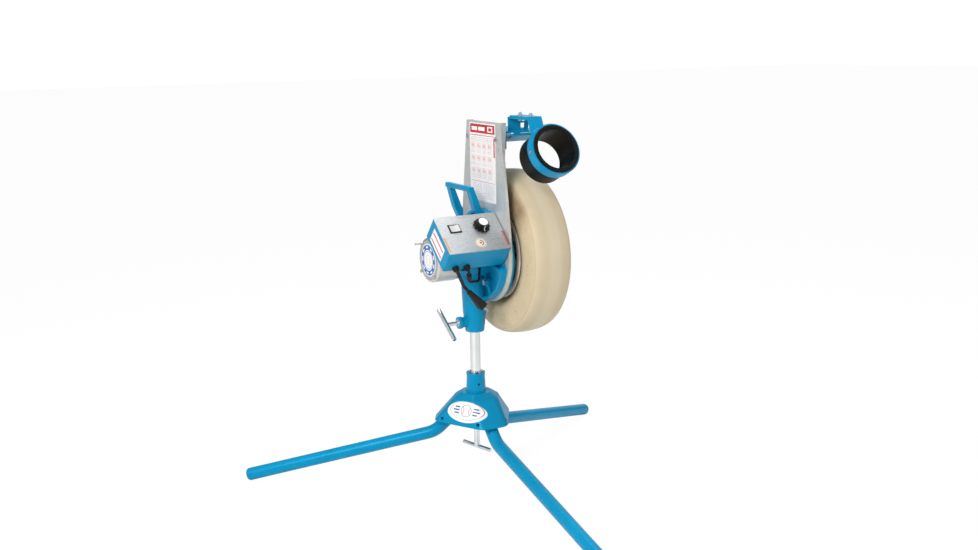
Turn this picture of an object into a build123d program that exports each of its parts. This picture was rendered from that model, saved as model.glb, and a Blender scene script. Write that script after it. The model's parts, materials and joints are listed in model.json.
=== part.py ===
from build123d import *

import os
from math import cos, radians, sin, sqrt

# Single-wheel baseball pitching machine on a three-legged stand.
#
# Millimetres, +Z up. The origin is on the floor under the column. The ball leaves towards +Y, the
# operator stands on the -Y side, and the wheel is on the +X side of the column.

os.makedirs("parts", exist_ok=True)

# --- driving dimensions ---------------------------------------------------------------------------
AXLE_Y = -16.0            # wheel and motor axis, parallel to X
AXLE_Z = 587.0
WHEEL_X = 103.0           # middle of the tread
TYRE_R = 203.0            # 4.80/4.00-8 pneumatic tyre
BEAD_R = 101.7
BALL_GAP = 71.0           # free height between the tread and the pressure plate

LEG_R = 15.875            # 1 1/4 in tube
LEG_WALL = 2.0
LEG_AZIMUTHS = {"leg_right": 29.3, "leg_left": 149.3, "leg_front": 269.3}
LEG_BEND_AT = 106.0
LEG_REACH = 584.0
LEG_SLOPE = 0.24

COLUMN_R = 12.7           # 1 in tube
COLUMN_TOP = 528.0
HUB_BOTTOM = 168.0
HUB_SHOULDER = 225.0
HUB_TOP = 238.0
COLLAR_TOP = 286.0
BADGE_Z = 201.0
NECK_BOTTOM = 393.0
CLAMP_Z = 418.0
RUNNING = 0.06            # radial running clearance

MOTOR_R = 54.0
MOTOR_REAR = -129.5
MOTOR_FRONT = -72.0
SLEEVE_R = 52.0
BRUSH_X = -62.0
BRUSH_ANGLE = 197.0
LEAD_END = (-24.0, -61.0, 572.3)     # the motor lead comes out of the front of the casting here
LEAD_OUT = (0, -16.0, -4.8)
DISC_R = 112.0            # round flange of the main casting
DISC_FACE = 24.0
RIM_FACE = 8.0
PLATE_X = 24.15           # left face of the side plate
PLATE_T = 4.0
PLATE_R = 118.0           # round lower end of the side plate
CLAMP_R = 72.0            # circle of the elevation bolts
CLAMP_ANGLES = (60.0, 241.0, 335.0)
SLOT_HALF = 36.0

BOX_LEFT = -139.0
BOX_RIGHT = 22.5
BOX_LENGTH = 111.0        # down the slope of the panel
BOX_DEPTH = 61.5
BOX_TOP_Y = -68.0         # top edge of the panel, where it meets the back of the box
BOX_TOP_Z = 696.0
PANEL_SLOPE = 40.8
SHEET = 2.0

CHUTE_R = 57.5
CHUTE_BORE_R = 47.5
CHUTE_LENGTH = 76.0
CHUTE_DROP = 25.8         # the chute points down towards the wheel
CHUTE_X = 99.0
CHUTE_MOUTH_Y = -229.0
CHUTE_MOUTH_Z = 856.0


STANDING = (Align.CENTER, Align.CENTER, Align.MIN)
HANGING = (Align.CENTER, Align.CENTER, Align.MAX)


# --- helpers --------------------------------------------------------------------------------------
def rod(start, direction, radius, length):
    """Solid cylinder from a point along a direction."""
    shape = Cylinder(radius, length, align=STANDING)
    return Plane(origin=start, z_dir=direction).location * shape


def ring(start, direction, outer, inner, length):
    """Hollow cylinder from a point along a direction."""
    return rod(start, direction, outer, length) - rod(start, direction, inner, length)


def hexagon(start, direction, flats, length):
    """Hexagonal prism, given across its flats."""
    outline = RegularPolygon(flats / 2, 6, major_radius=False)
    return Plane(origin=start, z_dir=direction).location * extrude(outline, length)


def block(x0, x1, y0, y1, z0, z1):
    """Box between two corners."""
    corner = (Align.MIN, Align.MIN, Align.MIN)
    return Pos(x0, y0, z0) * Box(x1 - x0, y1 - y0, z1 - z0, align=corner)


def turned(*points):
    """Solid of revolution about the axle, from (x, radius) points."""
    outline = make_face(Polyline(*points, close=True))
    return Pos(0, AXLE_Y, AXLE_Z) * revolve(outline, Axis.X)


def lathe_z(*points):
    """Solid of revolution about the column, from (radius, z) points."""
    outline = make_face(Polyline(*[(r, 0, z) for r, z in points], close=True))
    return revolve(outline, Axis.Z)


def side_profile(points, x0, x1):
    """(y, z) outline swept along X from x0 to x1."""
    outline = make_face(Polyline(*[(x0, y, z) for y, z in points], close=True))
    return extrude(outline, x1 - x0, dir=(1, 0, 0))


def front_profile(points, y0, y1):
    """(x, z) outline swept along Y from y0 to y1."""
    outline = make_face(Polyline(*[(x, y0, z) for x, z in points], close=True))
    return extrude(outline, y1 - y0, dir=(0, 1, 0))


def around_axle(x, radius, angle):
    """Point at a radius from the axle; the angle runs from +Y towards +Z."""
    a = radians(angle)
    return (x, AXLE_Y + radius * cos(a), AXLE_Z + radius * sin(a))


def panel_at(x, down, height=0.0):
    """Location on the control panel: across, down the slope, above the face."""
    return PANEL.location * Pos(x, -down, height)


def save(name, *solids):
    """Write one node; several solids are the identical pieces of one group."""
    shape = solids[0] if len(solids) == 1 else Compound(children=list(solids))
    export_step(shape, f"parts/{name}.step")


SLOPE = radians(PANEL_SLOPE)
PANEL = Plane(
    origin=(0, BOX_TOP_Y, BOX_TOP_Z),
    x_dir=(1, 0, 0),
    z_dir=(0, -sin(SLOPE), cos(SLOPE)),
)
DOWN_PANEL = (0, -cos(SLOPE), -sin(SLOPE))
INTO_BOX = (0, sin(SLOPE), -cos(SLOPE))
X_AXIS = (1, 0, 0)
LEFT = (-1, 0, 0)
UP = (0, 0, 1)


# --- stand: hub, legs, column ---------------------------------------------------------------------
def azimuth(angle, radius, z=0.0):
    a = radians(angle)
    return (radius * cos(a), radius * sin(a), z)


def hub_section(z, long_flat, end_flat, corner):
    """Six-sided outline: three long faces between the legs and three end faces over the legs."""
    half = (long_flat - end_flat / 2) / sin(radians(60))
    points = []
    for angle in LEG_AZIMUTHS.values():
        a = radians(angle)
        for side in (-half, half):
            points.append((end_flat * cos(a) - side * sin(a), end_flat * sin(a) + side * cos(a)))
    outline = make_face(Polyline(*points, close=True))
    return Pos(0, 0, z) * fillet(outline.vertices(), corner)


def hub_shell(offset):
    """Leaning lower body of the hub, grown outwards by an offset."""
    base = hub_section(HUB_BOTTOM, 81 + offset, 104 + offset, 30 + offset)
    shoulder = hub_section(HUB_SHOULDER, 55 + offset, 54 + offset, 30 + offset)
    return loft([base, shoulder])


def leg_path(azimuth_angle, start_r, end_r):
    """Leg centre line: 45 degrees down out of the hub, then a shallow slope to the floor."""
    bend_z = LEG_R + LEG_SLOPE * (LEG_REACH - LEG_BEND_AT)
    knee = azimuth(azimuth_angle, LEG_BEND_AT, bend_z)
    start = azimuth(azimuth_angle, start_r, bend_z + LEG_BEND_AT - start_r)
    end = azimuth(azimuth_angle, end_r, bend_z - LEG_SLOPE * (end_r - LEG_BEND_AT))
    return start, knee, end


def make_hub():
    lower = hub_shell(0)
    upper = loft([hub_section(HUB_SHOULDER, 55, 54, 30), hub_section(HUB_TOP, 36, 35, 20)])
    collar = lathe_z((0, 230), (26, 230), (24.3, 246), (22.8, 274), (23.8, COLLAR_TOP), (0, COLLAR_TOP))
    hollow = loft([hub_section(HUB_BOTTOM - 0.5, 75, 98, 24), hub_section(214, 54, 54, 24)])
    sockets = rod((0, 0, HUB_BOTTOM), UP, 21, 60)
    for angle in LEG_AZIMUTHS.values():
        start, knee, _ = leg_path(angle, 40, 500)
        run = Vector(*knee) - Vector(*start)
        sockets += rod(start, run, LEG_R + 5, 70) & block(-200, 200, -200, 200, HUB_BOTTOM, 260)
    for start, direction in set_screw_seats():
        sockets += rod(start, direction, 8, 32)
    hub = lower + upper + collar - (hollow - sockets)
    hub -= rod((0, 0, 176), UP, COLUMN_R + RUNNING, 200)
    hub -= rod((0, 0, 263), UP, 17.05, 40)
    hub -= rod((0, 0, 150), UP, 6.4, 40)
    for angle in LEG_AZIMUTHS.values():
        start, knee, _ = leg_path(angle, 45, 500)
        run = Vector(*knee) - Vector(*start)
        hub -= rod(start, run, LEG_R + 0.05, 120)
    for start, direction in set_screw_seats():
        hub -= rod(start, direction, 4.05, 60)
    start, direction = collar_screw_seat()
    hub -= rod(start, direction, 3.05, 14)
    return hub


def set_screw_seats():
    """Outer end and inward direction of the six screws that hold the legs."""
    seats = []
    for angle in LEG_AZIMUTHS.values():
        for side in (-60, 60):
            on_leg = azimuth(angle, 61, 177)
            outward = azimuth(angle + side, 1)
            seats.append((Vector(*on_leg) + Vector(*outward) * 50, Vector(*outward) * -1))
    return seats


def collar_screw_seat():
    outward = azimuth(261, 1)
    return Vector(0, 0, 259) + Vector(*outward) * 26.5, Vector(*outward) * -1


def make_leg(azimuth_angle):
    start, knee, end = leg_path(azimuth_angle, 45, LEG_REACH - 4)
    path = FilletPolyline(start, knee, end, radius=70)
    run = Vector(*knee) - Vector(*start)
    across = Vector(*azimuth(azimuth_angle + 90, 1))
    section = Plane(origin=start, x_dir=across, z_dir=run)
    outer = sweep(section * Circle(LEG_R), path=path)
    inner = sweep(section * Circle(LEG_R - LEG_WALL), path=path)
    return outer - inner


def make_leg_cap(azimuth_angle):
    """Plug in the open end of a leg with a rounded outside."""
    _, knee, end = leg_path(azimuth_angle, 45, LEG_REACH - 4)
    run = (Vector(*end) - Vector(*knee)).normalized()
    plug_r = LEG_R - LEG_WALL - 0.05
    side = Polyline(
        (0, 0, 14), (0, 0, -22), (plug_r, 0, -22), (plug_r, 0, 0.03), (LEG_R, 0, 0.03), (LEG_R, 0, 6)
    )
    halfway = 8 * sin(radians(45))
    corner = ThreePointArc((LEG_R, 0, 6), (LEG_R - 8 + halfway, 0, 6 + halfway), (LEG_R - 8, 0, 14))
    end_face = Line((LEG_R - 8, 0, 14), (0, 0, 14))
    cap = revolve(make_face(side + corner + end_face), Axis.Z)
    return Plane(origin=end, z_dir=run).location * cap


def make_set_screw(start, direction, radius, length, setback):
    """Socket set screw below the surface, with a hexagonal key hole."""
    direction = Vector(*direction)
    top = Vector(*start) + direction * setback
    return rod(top, direction, radius, length) - hexagon(top, direction, radius * 1.1, radius)


def make_t_handle(end, direction, shank, length, bar_direction, bar_length, bar_radius, neck=None):
    """Screw with a cross bar; the bar passes through the end point."""
    handle = rod(end, direction, shank, length)
    bar_dir = Vector(*bar_direction).normalized()
    bar = rod(Vector(*end) - bar_dir * (bar_length / 2), bar_dir, bar_radius, bar_length)
    bar = chamfer(bar.edges().filter_by(GeomType.CIRCLE), 0.9)
    handle += bar
    if neck:
        neck_start, neck_radius, neck_length = neck
        handle += rod(neck_start, direction, neck_radius, neck_length)
    return handle


save("leg_hub", make_hub())
for leg_name, leg_angle in LEG_AZIMUTHS.items():
    save(leg_name, make_leg(leg_angle))
save("leg_end_caps", *[make_leg_cap(a) for a in LEG_AZIMUTHS.values()])
hub_screws = [make_set_screw(s, d, 4, 10.2, 21.0) for s, d in set_screw_seats()]
save("hub_set_screws", *hub_screws, make_set_screw(*collar_screw_seat(), 3, 9, 4.6))

# Oval badge that wraps the long face between the left and the front leg.
badge_out = Vector(*azimuth(209.3, 1))
badge_side = Vector(*azimuth(299.3, 1))
badge_face = Plane(
    origin=badge_out * 40 + badge_side * 11 + Vector(0, 0, BADGE_Z - 12),
    x_dir=badge_side,
    z_dir=Vector(badge_out.X, badge_out.Y, 26 / 57),
)
badge_film = hub_shell(0.65) - hub_shell(0.08)
save("hub_badge", badge_film & (badge_face.location * extrude(Ellipse(53, 26), 60)))

# Column: a tube with a welded plug, tapped for the draw screw, in its lower end.
column = ring((0, 0, 178), UP, COLUMN_R, COLUMN_R - 3.2, COLUMN_TOP - 178)
save("column", column + ring((0, 0, 178), UP, COLUMN_R - 1, 6.25, 26))

collet = ring((0, 0, 263.2), UP, 17.0, COLUMN_R + 0.03, 27)
for i in range(6):
    slot_start = azimuth(60 * i + 15, 11, 272)
    slot = Box(14, 3.8, 40, align=(Align.MIN, Align.CENTER, Align.MIN))
    collet -= Pos(*slot_start) * Rot(Z=60 * i + 15) * slot
save("collet_bush", collet)

DRAW_BAR_Z = 91.0
draw_screw = make_t_handle(
    (0, 0, DRAW_BAR_Z), UP, 7.3, 164 - DRAW_BAR_Z, (0.279, -0.96, 0), 97, 5.0, ((0, 0, 163), 6.2, 33)
)
save("draw_screw", draw_screw)
save("draw_screw_washer", ring((0, 0, 164.3), UP, 13, 6.4, 3.2))


# --- head: main casting, clamp screw, bush --------------------------------------------------------
def make_casting():
    sleeve = turned((MOTOR_FRONT, 0), (MOTOR_FRONT, SLEEVE_R), (20, SLEEVE_R), (20, 0))
    disc = turned((18, 0), (18, DISC_R), (DISC_FACE, DISC_R), (DISC_FACE, 0))
    edge = turned(
        (RIM_FACE, 104), (RIM_FACE, 111), (RIM_FACE + 1, DISC_R), (DISC_FACE, DISC_R), (DISC_FACE, 104)
    )
    spigot = turned((22, 0), (22, 30), (34, 30), (34, 0))
    body = sleeve + disc + edge + spigot
    for angle in (15, 105, 195, 288) + CLAMP_ANGLES:
        rib = block(RIM_FACE, 20, 48, 107, -5, 5)
        body += Pos(0, AXLE_Y, AXLE_Z) * Rot(X=angle) * rib
    for angle in CLAMP_ANGLES:
        body += rod(around_axle(4, CLAMP_R, angle), X_AXIS, 11, 18)
    neck = lathe_z(
        (0, NECK_BOTTOM), (22.5, NECK_BOTTOM), (23.6, NECK_BOTTOM + 1.2), (28.6, 440), (32, 525), (32, 562),
        (0, 562),
    )
    neck -= block(23.6, 60, -60, 60, 462, 600)
    boss = rod((0, 0, CLAMP_Z), LEFT, 13, 45.5) + rod((-38, 0, CLAMP_Z), LEFT, 15, 7.5)
    seat = panel_at(-35, 32, -BOX_DEPTH - 0.05) * Box(56, 22, 14, align=HANGING)
    body = body + neck + boss + seat
    box_space = Box(400, 200, 200, align=(Align.CENTER, Align.MAX, Align.MIN))
    body -= panel_at(0, -0.5, -BOX_DEPTH - 0.05) * box_space
    body -= turned((MOTOR_FRONT - 1, 0), (MOTOR_FRONT - 1, 44), (-4, 44), (-4, 0))
    body -= turned((-10, 0), (-10, 10), (12, 10), (12, 20), (40, 20), (40, 0))
    body -= rod((0, 0, 380), UP, COLUMN_R + RUNNING, 150)
    body -= rod((0, 0, 446), UP, 16.0, 84)
    body -= rod((-8, 0, CLAMP_Z), LEFT, 4.85, 60)
    for angle in CLAMP_ANGLES:
        body -= rod(around_axle(-5, CLAMP_R, angle), X_AXIS, 4.1, 40)
    for point in handle_screw_points():
        body -= rod(point, X_AXIS, 3.05, 14)
    for angle in tie_bolt_angles():
        body -= rod(around_axle(MOTOR_FRONT - 1, 48.5, angle), X_AXIS, 2.5, 15)
    for x, down in box_screw_points():
        body -= panel_at(x, down, -BOX_DEPTH + 5) * Cylinder(2.55, 36)
    for direction in (BRUSH_ANGLE, BRUSH_ANGLE + 180):
        body -= rod(around_axle(BRUSH_X, 30, direction), radial(direction), 7.05, 30)
    body -= rod(LEAD_END, LEAD_OUT, 5.05, 24)
    return body


def radial(angle):
    a = radians(angle)
    return (0, cos(a), sin(a))


def tie_bolt_angles():
    return [48.7 + 90 * i for i in range(4)]


def handle_screw_points():
    """Points on the left face of the disc rim, under the two feet of the handle."""
    points = []
    for y in (-35, 74):
        points.append((RIM_FACE - 4, y, AXLE_Z + sqrt(108**2 - (y - AXLE_Y) ** 2)))
    return points


def box_screw_points():
    return ((-55, 32), (-15, 32))


def hex_bolt(start, direction, radius, length, flats, head):
    """Bolt whose shank starts at the point; the head lies behind it."""
    direction = Vector(*direction)
    shank = rod(start, direction, radius, length)
    return shank + hexagon(Vector(*start) - direction * head, direction, flats, head)


def hex_nut(start, direction, radius, flats, height):
    return hexagon(start, direction, flats, height) - rod(start, direction, radius + 0.05, height)


def cap_screw(start, direction, radius, length, head_radius, head):
    """Socket cap screw whose shank starts at the point; the head lies behind it."""
    direction = Vector(*direction)
    top = Vector(*start) - direction * head
    screw = rod(start, direction, radius, length) + rod(top, direction, head_radius, head)
    return screw - hexagon(top, direction, radius * 1.6, head * 0.6)


save("main_casting", make_casting())
save("swivel_bush", ring((0, 0, 448), UP, 15.94, COLUMN_R + RUNNING, 72))

T_BAR_X = -78.0
clamp_handle = make_t_handle((T_BAR_X, 0, CLAMP_Z), X_AXIS, 4.75, 65.05, (0, -0.83, -0.558), 103, 5.5)
save("clamp_t_handle", clamp_handle)
save("clamp_washer", ring((-47.4, 0, CLAMP_Z), X_AXIS, 9.5, 4.85, 1.8))


# --- motor ----------------------------------------------------------------------------------------
save("motor_shell", turned((-118, 50.95), (-118, MOTOR_R), (-72.05, MOTOR_R), (-72.05, 50.95)))
rear_cap = turned(
    (MOTOR_REAR, 0), (MOTOR_REAR, 48), (-128.6, 51), (-126.5, 53), (-123.5, MOTOR_R), (-118.05, MOTOR_R),
    (-118.05, 50.9), (-115, 50.9), (-115, 45.5), (-124, 45.5), (-124, 19), (-114, 19), (-114, 16.05),
    (-126, 16.05), (-126, 0),
)
for tie_angle in tie_bolt_angles():
    rear_cap -= rod(around_axle(-132, 48.5, tie_angle), X_AXIS, 2.5, 20)
save("motor_rear_cap", rear_cap)

magnet_ring = ring((-112, AXLE_Y, AXLE_Z), X_AXIS, 50.9, 44.5, 36)
magnets = []
for tie_angle in tie_bolt_angles():
    start_angle = tie_angle + 14
    wedge = make_face(Polyline((-120, 0), (-120, 60), (-70, 60), (-70, 0), close=True))
    sector = Rot(X=start_angle) * revolve(wedge, Axis.X, 62)
    magnets.append(magnet_ring & (Pos(0, AXLE_Y, AXLE_Z) * sector))
save("motor_magnets", *magnets)

tie_bolts = []
for i, tie_angle in enumerate(tie_bolt_angles()):
    stick_out = 19 if i == 0 else 5
    bolt = rod(around_axle(MOTOR_REAR - stick_out, 48.5, tie_angle), X_AXIS, 2.4, stick_out - MOTOR_REAR - 60)
    bolt += hexagon(around_axle(MOTOR_REAR - 4, 48.5, tie_angle), X_AXIS, 8, 3.9)
    tie_bolts.append(bolt)
save("motor_tie_bolts", *tie_bolts)
save("motor_label", rod((MOTOR_REAR - 0.05, AXLE_Y, AXLE_Z), LEFT, 40, 0.5))

shaft = turned((-125.8, 0), (-125.8, 7.5), (-100, 7.5), (-100, 8.5), (149, 8.5), (149, 0))
shaft -= block(113, 133, AXLE_Y - 2.5, AXLE_Y + 2.5, AXLE_Z + 5.5, AXLE_Z + 12)
save("drive_shaft", shaft)

armature = ring((-110, AXLE_Y, AXLE_Z), X_AXIS, 42, 8.55, 32)
for i in range(16):
    gap = block(-112, -76, 30, 44, -1.6, 1.6)
    armature -= Pos(0, AXLE_Y, AXLE_Z) * Rot(X=22.5 * i) * gap
save("armature", armature)
commutator = ring((-70, AXLE_Y, AXLE_Z), X_AXIS, 18, 8.55, 15)
for i in range(16):
    gap = block(-71, -54, 15.5, 19, -0.35, 0.35)
    commutator -= Pos(0, AXLE_Y, AXLE_Z) * Rot(X=22.5 * i) * gap
save("commutator", commutator)


def bearing(x, inner, outer, width):
    """Deep-groove bearing as one ring with a groove in each shield."""
    race = (outer - inner) / 3
    return turned(
        (x, inner + 0.02), (x, inner + race), (x + 0.6, inner + race), (x + 0.6, outer - race),
        (x, outer - race), (x, outer - 0.03), (x + width, outer - 0.03), (x + width, outer - race),
        (x + width - 0.6, outer - race), (x + width - 0.6, inner + race), (x + width, inner + race),
        (x + width, inner + 0.02),
    )


save("shaft_bearings", bearing(-125.5, 7.5, 16.05, 9), bearing(12.1, 8.5, 20, 12))

brushes = []
brush_caps = []
for direction in (BRUSH_ANGLE, BRUSH_ANGLE + 180):
    carbon = Pos(BRUSH_X, 0, 0) * Box(7, 9.6, 18, align=STANDING)
    carbon = Pos(0, 0, 18.4) * carbon
    brushes.append(Pos(0, AXLE_Y, AXLE_Z) * Rot(X=direction - 90) * carbon)
    cap = rod((BRUSH_X, 0, 37), UP, 7, 17) + rod((BRUSH_X, 0, SLEEVE_R + 0.8), UP, 9, 3)
    cap -= block(BRUSH_X - 0.8, BRUSH_X + 0.8, -8, 8, SLEEVE_R + 2.4, SLEEVE_R + 5)
    brush_caps.append(Pos(0, AXLE_Y, AXLE_Z) * Rot(X=direction - 90) * cap)
save("motor_brushes", *brushes)
save("brush_caps", *brush_caps)


# --- elevation clamp and carrying handle ----------------------------------------------------------
clamp_disc = turned(
    (28.3, 30.05), (28.3, 111), (34.6, 111), (34.6, 116.5), (40, 116.5), (41, 115.5), (41, 104), (36, 104),
    (36, 45), (41, 45), (41, 30.05),
)
for clamp_angle in CLAMP_ANGLES:
    clamp_disc -= rod(around_axle(27, CLAMP_R, clamp_angle), X_AXIS, 4.1, 12)
save("clamp_disc", clamp_disc)
clamp_bolts = [hex_bolt(around_axle(3.95, CLAMP_R, a), X_AXIS, 4, 39, 13, 5.3) for a in CLAMP_ANGLES]
clamp_nuts = [hex_nut(around_axle(36.05, CLAMP_R, a), X_AXIS, 4, 13, 6.5) for a in CLAMP_ANGLES]
save("elevation_bolts", *clamp_bolts, *clamp_nuts)


def make_handle():
    """Cast carrying handle: a cross bar on two tapered legs that lean over the motor."""
    top = [(-31, 757), (-19.5, 757), (3, 699)]
    front_leg = top + [(7.95, 699), (7.95, 674), (-1, 674), (-1, 680), (-15, 697)]
    rear_leg = top + [(7.95, 690), (7.95, 622), (-1, 622), (-1, 665), (-15, 697)]
    handle = front_profile(front_leg, -44, -25) + front_profile(rear_leg, 65, 83)
    handle += block(-31, -19.5, -44, 83, 745, 757)
    long_edges = [e for e in handle.edges().filter_by(Axis.Y) if e.length > 100]
    handle = fillet(long_edges, 3)
    for _, y, z in handle_screw_points():
        handle -= rod((-5, y, z), X_AXIS, 3.1, 20)
        handle -= rod((-1, y, z), LEFT, 5.2, 20)
    return handle


save("carry_handle", make_handle())
handle_screws = [
    cap_screw((-1.05, y, z), X_AXIS, 3, 17, 5, 5) for _, y, z in handle_screw_points()
]
save("handle_screws", *handle_screws)


# --- control box ----------------------------------------------------------------------------------
KNOB_AT = (-29.0, 39.0)
SWITCH_AT = (-98.5, 38.5)
DIAL_AT = (-50.0, 87.0)
LID_SCREWS = [(x, d) for x in (BOX_LEFT + 9, BOX_RIGHT - 9) for d in (9, BOX_LENGTH - 9)]
LID_BOSS = 14.0           # threaded bosses under the panel, on top of posts in the housing
CORD_AT = ((-109.0, 53.0), (-80.0, 53.0))

box_width = BOX_RIGHT - BOX_LEFT
box_middle = (BOX_RIGHT + BOX_LEFT) / 2
TOP_BACK = (Align.CENTER, Align.MAX, Align.MAX)
BOARD_X = box_middle + 5
BOARD_DOWN = 62.0


def in_box(down, depth):
    """Point on the left face of the box."""
    base = Vector(0, BOX_TOP_Y, BOX_TOP_Z)
    return base + Vector(*DOWN_PANEL) * down + Vector(*INTO_BOX) * depth


housing_depth = BOX_DEPTH - SHEET - 0.05
housing = panel_at(box_middle, 0, -SHEET - 0.05) * Box(box_width, BOX_LENGTH, housing_depth, align=TOP_BACK)
housing = fillet(housing.edges().filter_by(lambda e: abs(e.length - housing_depth) < 0.1), 3)
hollow = panel_at(box_middle, SHEET, -SHEET + 1) * Box(
    box_width - 2 * SHEET, BOX_LENGTH - 2 * SHEET, BOX_DEPTH - SHEET + 1 - SHEET, align=TOP_BACK
)
housing -= hollow
for screw_x, screw_down in LID_SCREWS:
    post = Cylinder(5.5, BOX_DEPTH - LID_BOSS - 1, align=HANGING)
    housing += panel_at(screw_x, screw_down, -LID_BOSS - 0.05) * post
    housing -= panel_at(screw_x, screw_down, 0) * Cylinder(2.2, BOX_DEPTH + 10, align=HANGING)
    housing -= panel_at(screw_x, screw_down, -BOX_DEPTH + 3) * Cylinder(4.2, 10, align=HANGING)
for post_x in (-53, 53):
    for post_y in (-28, 28):
        post = panel_at(BOARD_X + post_x, BOARD_DOWN - post_y, -46.85)
        housing += post * Cylinder(3.5, BOX_DEPTH - 47.5, align=HANGING)
for cord_x, cord_depth in CORD_AT:
    wall = in_box(BOX_LENGTH - 8, cord_depth) + Vector(cord_x, 0, 0)
    housing -= rod(wall, DOWN_PANEL, 6.05, 20)
for x, down in box_screw_points():
    housing -= panel_at(x, down, -BOX_DEPTH) * Cylinder(2.6, 12)
save("box_housing", housing)

panel = panel_at(box_middle, 0, 0) * Box(box_width, BOX_LENGTH, SHEET, align=TOP_BACK)
panel = fillet(panel.edges().filter_by(lambda e: abs(e.length - SHEET) < 0.01), 3)
panel -= panel_at(*KNOB_AT) * Cylinder(5.1, 10)
panel -= panel_at(*SWITCH_AT) * Box(26.2, 21.2, 10)
for screw_x, screw_down in LID_SCREWS:
    lid_boss = Cylinder(4.5, LID_BOSS - SHEET + 0.5, align=HANGING)
    panel += panel_at(screw_x, screw_down, -SHEET + 0.5) * lid_boss
    panel -= panel_at(screw_x, screw_down, -SHEET - 1) * Cylinder(2.05, LID_BOSS, align=HANGING)
save("control_panel", panel)

box_screws = []
for screw_x, screw_down in LID_SCREWS:
    start = PANEL.from_local_coords(Vector(screw_x, -screw_down, -BOX_DEPTH + 3))
    out_of_box = (0, -sin(SLOPE), cos(SLOPE))
    box_screws.append(cap_screw(start, out_of_box, 2, BOX_DEPTH - 8, 4, 3))
for x, down in box_screw_points():
    start = PANEL.from_local_coords(Vector(x, -down, -BOX_DEPTH + SHEET + 0.1))
    box_screws.append(cap_screw(start, INTO_BOX, 2.5, 15, 4.4, 4))
save("box_screws", *box_screws)

# Speed control: knob with a white cap on the shaft of a potentiometer.
knob_seat = panel_at(*KNOB_AT, 1.2)
knob = knob_seat * loft([Circle(20.5), Pos(0, 0, 5) * Circle(19.5)])
for i in range(12):
    scallop = Rot(Z=i * 30) * Pos(22.6, 0, -1) * Cylinder(4.6, 8, align=STANDING)
    knob -= knob_seat * scallop
knob += knob_seat * Pos(0, 0, 5) * loft([Circle(14.6), Pos(0, 0, 11.5) * Circle(13.2)])
for i in range(20):
    flute = Rot(Z=i * 18) * Pos(15.1, 0, 5.1) * Cylinder(1.3, 14, align=STANDING)
    knob -= knob_seat * flute
knob -= knob_seat * Pos(0, 0, 15) * Cylinder(11.55, 3, align=STANDING)
knob += panel_at(*KNOB_AT, -10) * Cylinder(3.1, 20, align=STANDING)
save("speed_knob", knob)
knob_cap = knob_seat * Pos(0, 0, 15.05) * Cylinder(11.5, 2.2, align=STANDING)
knob_cap = fillet(knob_cap.edges().filter_by(GeomType.CIRCLE).sort_by(Axis.Z)[-1], 0.8)
save("knob_cap", knob_cap)
potentiometer = panel_at(*KNOB_AT, -SHEET - 0.1) * Cylinder(14, 13, align=HANGING)
potentiometer += panel_at(*KNOB_AT, -SHEET - 0.1) * Cylinder(5, 3.0, align=STANDING)
potentiometer -= panel_at(*KNOB_AT, -10.1) * Cylinder(3.2, 20, align=STANDING)
save("potentiometer", potentiometer)

# Rocker switch: black frame with its body below the panel, white rocker on its own trunnions.
frame_at = panel_at(*SWITCH_AT, 0.05)
frame = frame_at * extrude(Rectangle(29.5, 24.5), 1.8)
frame = chamfer(frame.edges().filter_by(lambda e: (frame_at.inverse() * e).center().Z > 1.7), 0.6)
frame += frame_at * Pos(0, 0, -24) * extrude(Rectangle(26, 21), 24.5)
frame -= frame_at * Pos(0, 0, -9) * extrude(Rectangle(24.4, 19.4), 12)
frame -= frame_at * Pos(0, 0, -2.2) * Rot(X=90) * Cylinder(1.05, 20.2)
save("switch_frame", frame)
rocker_side = [(-11.3, -3.5), (-11.3, 2.0), (0, 1.4), (11.3, 4.2), (11.3, -1.0), (0, -5.5)]
rocker = make_face(Polyline(*[(x, 0, z) for x, z in rocker_side], close=True))
rocker = Pos(0, 9.3, 0) * extrude(rocker, 18.6, dir=(0, -1, 0))
rocker += Pos(0, 0, -2.2) * Rot(X=90) * Cylinder(1.0, 20)
save("rocker_switch", frame_at * rocker)

board = panel_at(BOARD_X, BOARD_DOWN, -46) * Box(118, 66, 1.6)
parts_on_board = [(-40, 10, 14, 22, 12), (-12, -14, 20, 10, 9), (18, 6, 26, 26, 16), (46, -16, 10, 14, 8)]
for px, py, w, d, h in parts_on_board:
    board += panel_at(BOARD_X, BOARD_DOWN, -46) * Pos(px, py, 0.7) * Box(w, d, h, align=STANDING)
save("speed_controller_board", board)

# Printed labels: round dial sticker, two warning strips on the panel, one on the side of the box.
labels = [
    panel_at(*DIAL_AT, 0.05) * Cylinder(15.5, 0.3, align=STANDING),
    panel_at(BOX_LEFT + 4.6, 83, 0.05) * Box(6, 43, 0.3, align=STANDING),
    panel_at(BOX_RIGHT - 4.2, 80, 0.05) * Box(6, 43, 0.3, align=STANDING),
    panel_at(BOX_LEFT - 0.05, 54, -33) * Box(0.4, 68, 39, align=(Align.MAX, Align.CENTER, Align.CENTER)),
]
save("box_labels", *labels)


# --- cables ---------------------------------------------------------------------------------------
def cable(points, radius, bend):
    path = FilletPolyline(*points, radius=bend)
    start = Plane(origin=points[0], z_dir=Vector(*points[1]) - Vector(*points[0]))
    return sweep(start * Circle(radius), path=path)


grips = []
for cord_x, cord_depth in CORD_AT:
    wall = in_box(BOX_LENGTH, cord_depth) + Vector(cord_x, 0, 0)
    step_out = Vector(*DOWN_PANEL)
    grip = rod(wall - step_out * 6, step_out, 6, 7)
    outside = Plane(origin=wall + step_out * 0.1, z_dir=step_out).location
    grip += outside * loft([Circle(8), Pos(0, 0, 9) * Circle(6)])
    grips.append(grip - rod(wall - step_out * 10, step_out, 4.05, 30))
lead_out = Vector(*LEAD_OUT).normalized()
grips.append(ring(Vector(*LEAD_END) + lead_out * 2.5, lead_out, 5, 3.05, 5))
save("cord_grips", *grips)

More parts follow.
